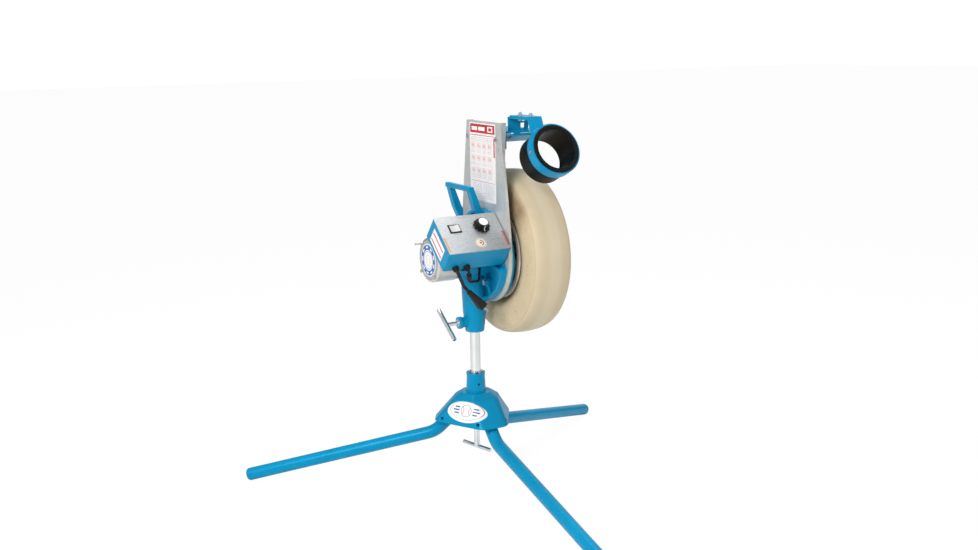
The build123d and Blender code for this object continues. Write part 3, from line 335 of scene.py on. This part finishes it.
def panel_plane(g, centre):
    """Coordinates in the panel's plane from a point: across (+X) and up the slope."""
    offset = g.vector("SUBTRACT", g.position, tuple(centre))
    return g.vector("DOT_PRODUCT", offset, (1, 0, 0)), g.vector("DOT_PRODUCT", offset, tuple(PANEL_UP))


def scale_lines(g):
    """Printed rules under the switch and beside the dial sticker."""
    across, up = panel_plane(g, KNOB)
    mask = None
    rules = [
        (-0.079, -0.060, -0.0165), (-0.050, -0.030, 0.0330), (-0.050, -0.030, 0.0305),
        (0.010, 0.040, -0.0255), (0.010, 0.040, -0.0420), (0.010, 0.040, -0.0585),
    ]
    for left, right, height in rules:
        rule = g.math("MULTIPLY", g.band(across, left, right), g.band(up, height, height + 0.0009))
        mask = rule if mask is None else g.math("MAXIMUM", mask, rule)
    return mask


def print_layers(name, paper, layers, rough=0.34):
    """Printed film: layers are (colour, mask function) laid over the paper in turn."""
    g = Graph(name)
    base = varied(g, paper, 0.04, 40)
    for colour, mask in layers:
        base = g.mix(mask(g), base, colour)
    grime = g.math("MULTIPLY", g.above(g.noise(60, 6.0, 0.7), 0.58, 0.20), 0.12)
    base = g.mix(grime, base, (0.40, 0.38, 0.34))
    gloss = levels(g, g.noise(80), rough - 0.06, rough + 0.10)
    return g.finish(base, gloss, 0.0, g.bump(g.noise(300, 2.0), 0.15, 0.00003))


def rectangle(axis_u, axis_v, origin, u0, u1, v0, v1):
    """Mask of a rectangle on a flat label, in metres from an origin along two axes."""

    def mask(g):
        offset = g.vector("SUBTRACT", g.position, tuple(origin))
        u = g.vector("DOT_PRODUCT", offset, tuple(axis_u))
        v = g.vector("DOT_PRODUCT", offset, tuple(axis_v))
        return g.math("MULTIPLY", g.band(u, u0, u1), g.band(v, v0, v1))

    return mask


def text_rows(axis_u, axis_v, origin, u0, u1, v0, v1, pitch):
    """Mask of grey rules that stand for lines of small print, broken into words by noise."""

    def mask(g):
        offset = g.vector("SUBTRACT", g.position, tuple(origin))
        u = g.vector("DOT_PRODUCT", offset, tuple(axis_u))
        v = g.vector("DOT_PRODUCT", offset, tuple(axis_v))
        line = g.above(g.math("SINE", g.math("MULTIPLY", v, 2 * pi / pitch)), 0.1, 0.3)
        words = g.above(g.noise(1.0, 2.0, 0.6, g.stretched((260, 260, 1 / pitch))), 0.46, 0.05)
        area = g.math("MULTIPLY", g.band(u, u0, u1), g.band(v, v0, v1))
        return g.math("MULTIPLY", g.math("MULTIPLY", line, words), g.math("MULTIPLY", area, 0.7))

    return mask


def disc_mask(centre, axis_u, axis_v, r0, r1, squash=1.0, arc=None):
    """Mask of a ring, or of an arc pattern with a number of dashes, round a centre."""

    def mask(g):
        offset = g.vector("SUBTRACT", g.position, tuple(centre))
        u = g.vector("DOT_PRODUCT", offset, tuple(axis_u))
        v = g.math("MULTIPLY", g.vector("DOT_PRODUCT", offset, tuple(axis_v)), squash)
        reach = g.math("SQRT", g.math("ADD", g.math("MULTIPLY", u, u), g.math("MULTIPLY", v, v)))
        shape = g.band(reach, r0, r1)
        if arc:
            dashes = g.above(g.math("SINE", g.math("MULTIPLY", g.math("ARCTAN2", u, v), arc)), 0.0, 0.3)
            shape = g.math("MULTIPLY", shape, dashes)
        return shape

    return mask


def seam_arcs(centre, axis_u, axis_v, size):
    """Layers that draw a plain ball: a dark outline and two red seams."""
    shift = 1.25 * size
    layers = [(WHITE, disc_mask(centre, axis_u, axis_v, -1, size))]
    for side in (-1, 1):
        seam_centre = Vector(centre) + Vector(axis_u) * side * shift
        outer = disc_mask(seam_centre, axis_u, axis_v, 0.72 * size, 0.84 * size)
        inside = disc_mask(centre, axis_u, axis_v, -1, 0.93 * size)
        layers.append((RED, lambda g, a=outer, b=inside: g.math("MULTIPLY", a(g), b(g))))
    layers.append((BLUE_INK, disc_mask(centre, axis_u, axis_v, 0.93 * size, 1.02 * size)))
    return layers


BLUE = (0.0008, 0.255, 0.470)
MATERIALS = {}


def build_materials():
    m = MATERIALS
    m["cast_blue"] = paint("blue_enamel_on_casting", BLUE, 320, 0.00022, 0.0035)
    m["sheet_blue"] = paint("blue_enamel_on_sheet", BLUE, 900, 0.00006, 0.0012)
    m["tube_blue"] = paint("blue_enamel_on_tube", BLUE, 800, 0.00006, 0.0020, 0.7)
    m["chrome"] = metal("bright_chrome", (0.74, 0.76, 0.76), 0.05, 0.13, (300, 300, 60), 0.00001, 0.12)
    m["zinc"] = metal("zinc_plate", (0.62, 0.63, 0.62), 0.24, 0.42, (260, 260, 260))
    m["steel"] = metal("ground_steel", (0.58, 0.58, 0.58), 0.20, 0.36, (60, 700, 700))
    m["black_steel"] = metal("blackened_steel", (0.07, 0.07, 0.075), 0.34, 0.50, (240, 240, 240))
    m["motor"] = metal("silver_motor_lacquer", (0.70, 0.67, 0.62), 0.36, 0.50, (420, 420, 420), 0.00004, 0.18)
    m["lamination"] = metal("laminated_core", (0.34, 0.34, 0.35), 0.34, 0.50, (2600, 30, 30), 0.00008)
    m["copper"] = metal("commutator_copper", (0.72, 0.38, 0.22), 0.22, 0.40, (900, 60, 60))
    m["bronze"] = metal("sintered_bronze", (0.58, 0.40, 0.20), 0.36, 0.52, (700, 700, 700), 0.00005)
    m["ferrite"] = moulded("ferrite", (0.045, 0.045, 0.05), 0.55, 0.75)
    m["carbon"] = moulded("brush_carbon", (0.03, 0.03, 0.03), 0.45, 0.60)
    m["board"] = moulded("circuit_board", (0.02, 0.14, 0.06), 0.35, 0.50, 500)
    m["chute"] = moulded("black_chute_tube", (0.0035, 0.0035, 0.0038), 0.30, 0.46, 1100, 0.00003, 0.16)
    m["black"] = moulded("black_moulding", (0.006, 0.006, 0.0065), 0.30, 0.46, 1000, 0.00003, 0.22)
    m["cord"] = moulded("black_cord_rubber", (0.007, 0.0068, 0.0065), 0.42, 0.60, 700, 0.00006)
    m["white"] = moulded("white_moulding", (0.80, 0.80, 0.78), 0.22, 0.36, 900, 0.00002)
    m["rocker"] = moulded("pale_rocker_moulding", (0.56, 0.56, 0.55), 0.26, 0.40, 900, 0.00002)
    m["tyre"] = tyre_rubber()
    m["rim"] = rim_enamel()
    m["plate"] = plate_aluminium()
    m["lid"] = panel_lid()
    m["badge"] = badge_print()
    m["motor_label"] = motor_label_print()
    m["instructions"] = instruction_print()
    m["box_labels"] = box_label_print()


def badge_print():
    """Oval sticker: blue border, red inner line and a plain ball."""
    out = Vector((cos(BADGE_FACING), sin(BADGE_FACING), 0))
    side = Vector((-out.y, out.x, 0))
    low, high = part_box("hub_badge")
    centre = (low + high) / 2
    rise = (Vector((0, 0, 1)) - out * BADGE_LEAN).normalized()
    layers = [
        (BLUE_INK, disc_mask(centre, side, rise, 0.0450, 0.0464, BADGE_SQUASH)),
        (RED, disc_mask(centre + side * 0.002, side, rise, 0.0424, 0.0434, BADGE_SQUASH, 1)),
    ]
    layers += seam_arcs(centre, side, rise, 0.0150)
    for away in (-1, 1):
        for height, reach in ((-0.0075, 0.033), (0.0, 0.037), (0.0075, 0.033)):
            start, end = sorted((away * 0.0195, away * reach))
            stroke = rectangle(side, rise, centre, start, end, height - 0.0018, height + 0.0018)
            layers.append((BLUE_INK, stroke))
    return print_layers("oval_badge_print", WHITE, layers)


def motor_label_print():
    """Round sticker: blue ring with white dashes, and a plain ball in the middle."""
    centre = Vector((0, AXLE.y, AXLE.z))
    y_axis, z_axis = (0, 1, 0), (0, 0, 1)
    ring_blue = (0.01, 0.12, 0.42)
    layers = [
        (ring_blue, disc_mask(centre, y_axis, z_axis, 0.0384, 0.0394)),
        (ring_blue, disc_mask(centre, y_axis, z_axis, 0.0248, 0.0370)),
        (WHITE, disc_mask(centre, y_axis, z_axis, 0.0288, 0.0336, 1.0, 9)),
        (ring_blue, disc_mask(centre, y_axis, z_axis, 0.0205, 0.0222)),
    ]
    layers += seam_arcs(centre, y_axis, z_axis, 0.0125)
    return print_layers("motor_sticker_print", WHITE, layers)


def instruction_print():
    """Instruction sheet: red header, figure blocks and rows of small print, all generic."""
    low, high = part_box("instruction_label")
    origin = Vector((low.x, high.y, high.z))
    right, up = (0, -1, 0), (0, 0, 1)
    width, height = high.y - low.y, high.z - low.z

    def area(u0, u1, v0, v1):
        """Rectangle given as shares of the sheet's width and height, from its top left corner."""
        return rectangle(right, up, origin, u0 * width, u1 * width, -v1 * height, -v0 * height)

    def rows(u0, u1, v0, v1, pitch):
        """Lines of small print in such a rectangle."""
        return text_rows(right, up, origin, u0 * width, u1 * width, -v1 * height, -v0 * height, pitch)

    pale_pink = (0.84, 0.70, 0.67)
    grey = (0.46, 0.47, 0.50)
    soft_blue = (0.30, 0.38, 0.56)
    soft_red = (0.62, 0.22, 0.22)
    deep_red = (0.50, 0.012, 0.02)
    layers = [
        (deep_red, area(0.02, 0.98, 0.015, 0.130)),
        (WHITE, area(0.08, 0.30, 0.048, 0.098)),
        (WHITE, area(0.34, 0.60, 0.048, 0.098)),
        (WHITE, area(0.70, 0.90, 0.036, 0.110)),
        (deep_red, area(0.74, 0.86, 0.052, 0.094)),
        (deep_red, area(0.02, 0.98, 0.152, 0.162)),
        (deep_red, area(0.93, 0.98, 0.18, 0.42)),
        (grey, rows(0.05, 0.88, 0.180, 0.238, 0.0045)),
    ]
    for row in range(3):
        top = 0.25 + 0.16 * row
        for column in range(4):
            left = 0.05 + 0.215 * column
            layers.append((pale_pink, area(left, left + 0.175, top, top + 0.080)))
            layers.append((grey, rows(left, left + 0.17, top + 0.088, top + 0.145, 0.0038)))
            layers.append((soft_blue, area(left + 0.05, left + 0.070, top + 0.020, top + 0.058)))
            layers.append((soft_red, area(left + 0.095, left + 0.120, top + 0.032, top + 0.058)))
    layers.append((soft_red, area(0.04, 0.96, 0.745, 0.754)))
    layers.append((grey, rows(0.06, 0.46, 0.77, 0.97, 0.0042)))
    layers.append((grey, rows(0.52, 0.94, 0.77, 0.97, 0.0042)))
    return print_layers("instruction_sheet_print", (0.88, 0.84, 0.83), layers)


def box_label_print():
    """Dial sticker, two striped strips and a side sticker, told apart by where they are."""
    side_low, side_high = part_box("box_labels")
    g_panel = tuple(PANEL_UP)
    dial = KNOB + Vector((-0.021, 0, 0)) - PANEL_UP * 0.048
    left_edge = side_low.x
    right_strip = side_high.x - 0.0045
    left_origin = Vector((left_edge, KNOB.y, KNOB.z))
    side_centre = left_origin - PANEL_UP * 0.015 - PANEL_OUT * 0.034
    right_origin = Vector((right_strip, KNOB.y, KNOB.z))
    beige = (0.50, 0.45, 0.36)
    x_axis = (1, 0, 0)
    layers = [
        (beige, disc_mask(dial, x_axis, g_panel, 0.0112, 0.0160)),
        ((0.66, 0.62, 0.55), disc_mask(dial, x_axis, g_panel, -1, 0.0112)),
        (INK, disc_mask(dial, x_axis, g_panel, 0.0108, 0.0114)),
        ((0.10, 0.14, 0.07), disc_mask(dial, x_axis, g_panel, 0.0056, 0.0086, 1.0, 1)),
        (RED, disc_mask(dial, x_axis, g_panel, -1, 0.0032)),
        (beige, rectangle(x_axis, g_panel, left_origin, 0.0008, 0.010, -0.09, 0.0)),
        ((0.62, 0.20, 0.02), rectangle(x_axis, g_panel, left_origin, 0.0030, 0.0058, -0.09, 0.0)),
        (RED, rectangle(x_axis, g_panel, right_origin, -0.0035, 0.0012, -0.09, 0.01)),
        (INK, rectangle(x_axis, g_panel, right_origin, 0.0012, 0.009, -0.09, 0.01)),
    ]
    on_side = rectangle(x_axis, g_panel, left_origin, -0.001, 0.0006, -0.2, 0.2)
    layers.append((WHITE, on_side))
    for low, high in ((-0.0120, -0.0075), (0.0065, 0.0110)):
        stripe = rectangle(PANEL_OUT, g_panel, side_centre, low, high, -0.031, 0.031)
        layers.append((RED, lambda g, a=stripe, b=on_side: g.math("MULTIPLY", a(g), b(g))))
    return print_layers("box_sticker_print", WHITE, layers)


NODE_MATERIALS = {
    "cast_blue": "leg_hub main_casting clamp_disc carry_handle",
    "sheet_blue": "box_housing top_bracket pressure_plate chute_arm",
    "tube_blue": "leg_right leg_left leg_front leg_end_caps",
    "chrome": "column draw_screw clamp_t_handle",
    "zinc": "draw_screw_washer clamp_washer motor_tie_bolts elevation_bolts handle_screws box_screws"
            " bracket_bolts pressure_plate_bolts chute_fasteners wheel_bolts axle_nut_and_key potentiometer",
    "steel": "drive_shaft shaft_bearings wheel_hub plug_blades collet_bush",
    "black_steel": "hub_set_screws",
    "motor": "motor_shell motor_rear_cap",
    "lamination": "armature",
    "copper": "commutator",
    "bronze": "swivel_bush",
    "ferrite": "motor_magnets",
    "carbon": "motor_brushes",
    "board": "speed_controller_board",
    "chute": "ball_chute",
    "black": "speed_knob switch_frame brush_caps",
    "cord": "cord_grips power_cord plug_body motor_lead valve_stem",
    "white": "knob_cap",
    "rocker": "rocker_switch",
    "tyre": "tyre",
    "rim": "wheel_rim",
    "plate": "side_plate",
    "lid": "control_panel",
    "badge": "hub_badge",
    "motor_label": "motor_label",
    "instructions": "instruction_label",
    "box_labels": "box_labels",
}


def dress_nodes():
    for key, names in NODE_MATERIALS.items():
        for name in names.split():
            mesh = nodes[name].data
            mesh.materials.clear()
            mesh.materials.append(MATERIALS[key])


# --- added pieces ---------------------------------------------------------------------------------
def new_piece(name, mesh_builder, material, body, smooth=True):
    mesh = bmesh.new()
    mesh_builder(mesh)
    bmesh.ops.recalc_face_normals(mesh, faces=mesh.faces)
    data = bpy.data.meshes.new(name)
    mesh.to_mesh(data)
    mesh.free()
    for face in data.polygons:
        face.use_smooth = smooth
    data.materials.append(MATERIALS[material])
    piece = bpy.data.objects.new(name, data)
    bpy.context.scene.collection.objects.link(piece)
    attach(piece, body)
    return piece


def weld_bead(mesh, points, radius, seed, ripple=0.0022):
    """A rippled half-buried weld along a line of points."""
    points = [Vector(p) for p in points]
    lengths = [(b - a).length for a, b in zip(points, points[1:])]
    total = sum(lengths)
    steps = max(6, int(total / (ripple / 3)))
    sides = 10
    rings = []
    for i in range(steps + 1):
        along = total * i / steps
        part = 0
        while part < len(lengths) - 1 and along > lengths[part]:
            along -= lengths[part]
            part += 1
        run = (points[part + 1] - points[part]).normalized()
        centre = points[part] + run * along
        side = run.cross(Vector((0.31, 0.42, 0.85))).normalized()
        other = run.cross(side)
        t = i / steps
        taper = min(1.0, 5 * t + 0.35, 5 * (1 - t) + 0.35)
        swell = 1 + 0.18 * abs(sin(pi * t * total / ripple)) + 0.12 * noise.noise((seed, t * 9, 0))
        r = radius * taper * swell
        turn = [2 * pi * k / sides for k in range(sides)]
        rings.append([mesh.verts.new(centre + side * cos(a) * r + other * sin(a) * r) for a in turn])
    join_rings(mesh, rings)


def torus(mesh, centre, axis, major, minor, turns=96, sides=8):
    """A ring of round section about an axis."""
    axis = Vector(axis).normalized()
    u = axis.orthogonal().normalized()
    v = axis.cross(u)
    rings = []
    for i in range(turns):
        a = 2 * pi * i / turns
        out = u * cos(a) + v * sin(a)
        section = []
        for k in range(sides):
            b = 2 * pi * k / sides
            place = out * (major + minor * cos(b)) + axis * minor * sin(b)
            section.append(mesh.verts.new(Vector(centre) + place))
        rings.append(section)
    join_rings(mesh, rings + rings[:1], caps=False)


def bar(mesh, centre, along, across, out, length, width, height):
    """A block with narrowed top, such as a raised mark."""
    along, across, out = (Vector(d).normalized() for d in (along, across, out))
    corners = []
    for top, shrink in ((-0.5, 1.0), (0.35, 1.0), (0.5, 0.8)):
        for a, b in ((-1, -1), (1, -1), (1, 1), (-1, 1)):
            place = along * (a * length / 2 * shrink) + across * (b * width / 2 * shrink)
            corners.append(mesh.verts.new(Vector(centre) + place + out * (height * top)))
    join_rings(mesh, [corners[0:4], corners[4:8], corners[8:12]])


def join_rings(mesh, rings, caps=True):
    """Skin a row of vertex rings; the two ends are closed unless the row is a loop."""
    sides = len(rings[0])
    for a, b in zip(rings, rings[1:]):
        for k in range(sides):
            mesh.faces.new((a[k], a[(k + 1) % sides], b[(k + 1) % sides], b[k]))
    if caps:
        mesh.faces.new(list(reversed(rings[0])))
        mesh.faces.new(rings[-1])


def sidewall_at(radius, side):
    """X of the tyre's sidewall at a distance from the axle, on one side of the wheel."""
    best, place = 1.0, AXLE.x
    for vertex in nodes["tyre"].data.vertices:
        away = vertex.co - AXLE
        if away.x * side < 0.035:
            continue
        miss = abs(sqrt(away.y ** 2 + away.z ** 2) - radius)
        if miss < best - 1e-6 or (miss < best + 1e-6 and away.x * side > (place - AXLE.x) * side):
            best, place = miss, vertex.co.x
    return place


def sidewall_marks(mesh, side):
    """Raised moulding rings, and groups of small blocks where a tyre carries its size."""
    for radius, minor in ((0.1215, 0.0011), (0.1360, 0.0008), (0.1790, 0.0010)):
        torus(mesh, (sidewall_at(radius, side), AXLE.y, AXLE.z), (1, 0, 0), radius, minor, 128)
    x = sidewall_at(0.157, side)
    for group in range(3):
        for i in range(7):
            a = radians(group * 120 + 14 + i * 3.1)
            out = Vector((0, cos(a), sin(a)))
            along = Vector((0, -sin(a), cos(a)))
            length = 0.0045 if i % 3 else 0.0065
            centre = Vector((x, AXLE.y, AXLE.z)) + out * 0.157
            bar(mesh, centre, along, out, (side, 0, 0), length, 0.0085, 0.0016)


def knob_mark(mesh):
    """White pointer line down the side of the knob and over its skirt."""
    towards = -PANEL_UP
    body = KNOB + towards * 0.0139 + PANEL_OUT * 0.0115
    bar(mesh, body, PANEL_OUT, (1, 0, 0), towards, 0.0095, 0.0018, 0.0016)
    skirt = KNOB + towards * 0.0172 + PANEL_OUT * 0.0062
    bar(mesh, skirt, towards, (1, 0, 0), PANEL_OUT, 0.0050, 0.0018, 0.0008)


def strap_welds(mesh):
    """Beads where the strap meets the band, on the side towards the chute's mouth."""
    mount = next(m for m in frame["record"]["mounts"] if m["name"] == "ball_chute_bore")
    outwards = Vector(mount["axis"]).normalized()
    centre = Vector(mount["pos_m"])
    up = Vector((1, 0, 0)).cross(outwards).normalized()
    up = up if up.z > 0 else -up
    points = []
    for step in range(9):
        across = STRAP_LEFT + (STRAP_RIGHT - STRAP_LEFT) * step / 8 - centre.x
        height = sqrt(BAND_OUTER ** 2 - across ** 2)
        points.append(centre + Vector((across, 0, 0)) + up * height + outwards * STRAP_FRONT)
    weld_bead(mesh, points, 0.0022, 3)


def bracket_welds(mesh):
    """Beads along the foot and head of the windowed upright, and on the leg plate's top corner."""
    tongue_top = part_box("top_bracket")[1].z
    shelf_top = tongue_top - 0.033
    head = tongue_top - 0.004
    weld_bead(mesh, [(0.057, -0.084, shelf_top), (0.088, -0.084, shelf_top)], 0.0020, 5)
    weld_bead(mesh, [(0.0462, -0.068, shelf_top), (0.0462, 0.030, shelf_top)], 0.0020, 8)
    weld_bead(mesh, [(0.060, -0.084, head), (0.093, -0.084, head)], 0.0018, 11)


def cord_ribs(mesh, start, direction, radius, count, pitch):
    """Rings along a grip, each a little smaller than the last."""
    for i in range(count):
        centre = Vector(start) + Vector(direction) * (pitch * i)
        torus(mesh, centre, direction, radius - 0.0004 * i, 0.0007, 32, 6)


def grip_ribs(mesh):
    """Moulded ribs on the two strain reliefs under the box."""
    down = -PANEL_UP
    wall_middle = KNOB + down * 0.0720 - PANEL_OUT * 0.0530
    for x in (-0.109, -0.080):
        start = Vector((x, wall_middle.y, wall_middle.z)) + down * 0.0022
        cord_ribs(mesh, start, down, 0.0077, 4, 0.0019)


def add_pieces():
    for side, name in ((-1, "left"), (1, "right")):
        build = lambda mesh, s=side: sidewall_marks(mesh, s)
        new_piece(f"tyre_moulding_{name}", build, "tyre", "wheel")
    new_piece("knob_pointer", knob_mark, "white", "speed_knob", smooth=False)
    new_piece("strap_weld", strap_welds, "sheet_blue", "throwing_frame")
    new_piece("bracket_welds", bracket_welds, "sheet_blue", "throwing_frame")
    new_piece("grip_ribs", grip_ribs, "cord", "head")


# --- stage ----------------------------------------------------------------------------------------
def make_stage():
    """Pale floor that the camera sees near white, with only a soft trace of shadow."""
    g = Graph("pale_studio_floor")
    g.finish(varied(g, (0.88, 0.88, 0.88), 0.01, 3), 0.55, 0.0, None)
    glow = g.tree.nodes.new("ShaderNodeEmission")
    glow.inputs["Color"].default_value = (1, 1, 1, 1)
    glow.inputs["Strength"].default_value = BACKDROP_GLOW
    path = g.tree.nodes.new("ShaderNodeLightPath")
    mix = g.tree.nodes.new("ShaderNodeMixShader")
    output = next(n for n in g.tree.nodes if n.type == "OUTPUT_MATERIAL")
    g.link(g.math("MULTIPLY", path.outputs["Is Camera Ray"], FLOOR_GLOW), mix.inputs[0])
    g.link(g.shader.outputs[0], mix.inputs[1])
    g.link(glow.outputs[0], mix.inputs[2])
    g.link(mix.outputs[0], output.inputs["Surface"])
    bpy.ops.mesh.primitive_plane_add(size=60, location=(0, 0, -0.0004))
    floor = bpy.context.object
    floor.name = "floor"
    floor.data.materials.append(g.material)


def area_light(name, place, target, width, height, power, colour=(1, 1, 1)):
    light = bpy.data.lights.new(name, "AREA")
    light.shape = "RECTANGLE"
    light.size = width
    light.size_y = height
    light.energy = power
    light.color = colour
    lamp = bpy.data.objects.new(name, light)
    bpy.context.scene.collection.objects.link(lamp)
    lamp.location = place
    lamp.rotation_euler = (Vector(target) - Vector(place)).to_track_quat("-Z", "Y").to_euler()


def make_world():
    """White studio; mirrors see darker bands beside the white, so plated parts read as chrome."""
    world = bpy.data.worlds.new("studio")
    world.use_nodes = True
    tree = world.node_tree
    tree.nodes.clear()
    out = tree.nodes.new("ShaderNodeOutputWorld")
    background = tree.nodes.new("ShaderNodeBackground")
    reflected = tree.nodes.new("ShaderNodeBackground")
    path = tree.nodes.new("ShaderNodeLightPath")
    mix = tree.nodes.new("ShaderNodeMixShader")
    coordinates = tree.nodes.new("ShaderNodeTexCoord")
    split = tree.nodes.new("ShaderNodeSeparateXYZ")
    ramp = tree.nodes.new("ShaderNodeValToRGB")
    angle = tree.nodes.new("ShaderNodeMath")
    wave = tree.nodes.new("ShaderNodeMath")
    tree.links.new(coordinates.outputs["Generated"], split.inputs[0])
    angle.operation = "ARCTAN2"
    tree.links.new(split.outputs["Y"], angle.inputs[0])
    tree.links.new(split.outputs["X"], angle.inputs[1])
    wave.operation = "PINGPONG"
    wave.inputs[1].default_value = 0.9
    tree.links.new(angle.outputs[0], wave.inputs[0])
    tree.links.new(wave.outputs[0], ramp.inputs[0])
    ramp.color_ramp.elements[0].position = 0.28
    ramp.color_ramp.elements[0].color = (0.02, 0.022, 0.025, 1)
    ramp.color_ramp.elements[1].position = 0.60
    ramp.color_ramp.elements[1].color = (0.90, 0.90, 0.90, 1)
    background.inputs["Color"].default_value = (1, 1, 1, 1)
    background.inputs["Strength"].default_value = AMBIENT
    reflected.inputs["Strength"].default_value = 0.80
    backdrop = tree.nodes.new("ShaderNodeBackground")
    backdrop.inputs["Color"].default_value = (1, 1, 1, 1)
    backdrop.inputs["Strength"].default_value = BACKDROP_GLOW
    seen = tree.nodes.new("ShaderNodeMixShader")
    tree.links.new(ramp.outputs[0], reflected.inputs["Color"])
    tree.links.new(path.outputs["Is Glossy Ray"], mix.inputs[0])
    tree.links.new(background.outputs[0], mix.inputs[1])
    tree.links.new(reflected.outputs[0], mix.inputs[2])
    tree.links.new(path.outputs["Is Camera Ray"], seen.inputs[0])
    tree.links.new(mix.outputs[0], seen.inputs[1])
    tree.links.new(backdrop.outputs[0], seen.inputs[2])
    tree.links.new(seen.outputs[0], out.inputs[0])
    bpy.context.scene.world = world


def make_camera():
    """Standing to the operator's left, a little above the control box, looking slightly down."""
    turn, pitch, roll = CAMERA_TURN, CAMERA_PITCH, CAMERA_ROLL
    ahead = Vector((-sin(turn) * cos(pitch), cos(turn) * cos(pitch), -sin(pitch)))
    right = Vector((cos(turn), sin(turn), 0))
    down = ahead.cross(right)
    rolled_right = right * cos(roll) + down * sin(roll)
    rolled_down = down * cos(roll) - right * sin(roll)
    data = bpy.data.cameras.new("camera")
    data.sensor_width = 36
    data.lens = CAMERA_LENS
    camera = bpy.data.objects.new("camera", data)
    bpy.context.scene.collection.objects.link(camera)
    axes = Matrix((rolled_right, -rolled_down, -ahead)).transposed()
    camera.matrix_world = Matrix.Translation(CAMERA_PLACE) @ axes.to_4x4()
    bpy.context.scene.camera = camera


build_materials()
dress_nodes()
add_pieces()
make_stage()
make_world()
area_light("key", (-2.4, -1.6, 2.4), (0, 0, 0.6), 1.4, 1.4, 78)
area_light("fill", (2.6, -2.2, 1.8), (0, 0, 0.6), 2.0, 2.0, 14)
area_light("top", (0.2, 0.2, 3.2), (0, 0, 0.4), 2.0, 2.0, 42)
make_camera()
bpy.context.scene.view_settings.view_transform = "Standard"
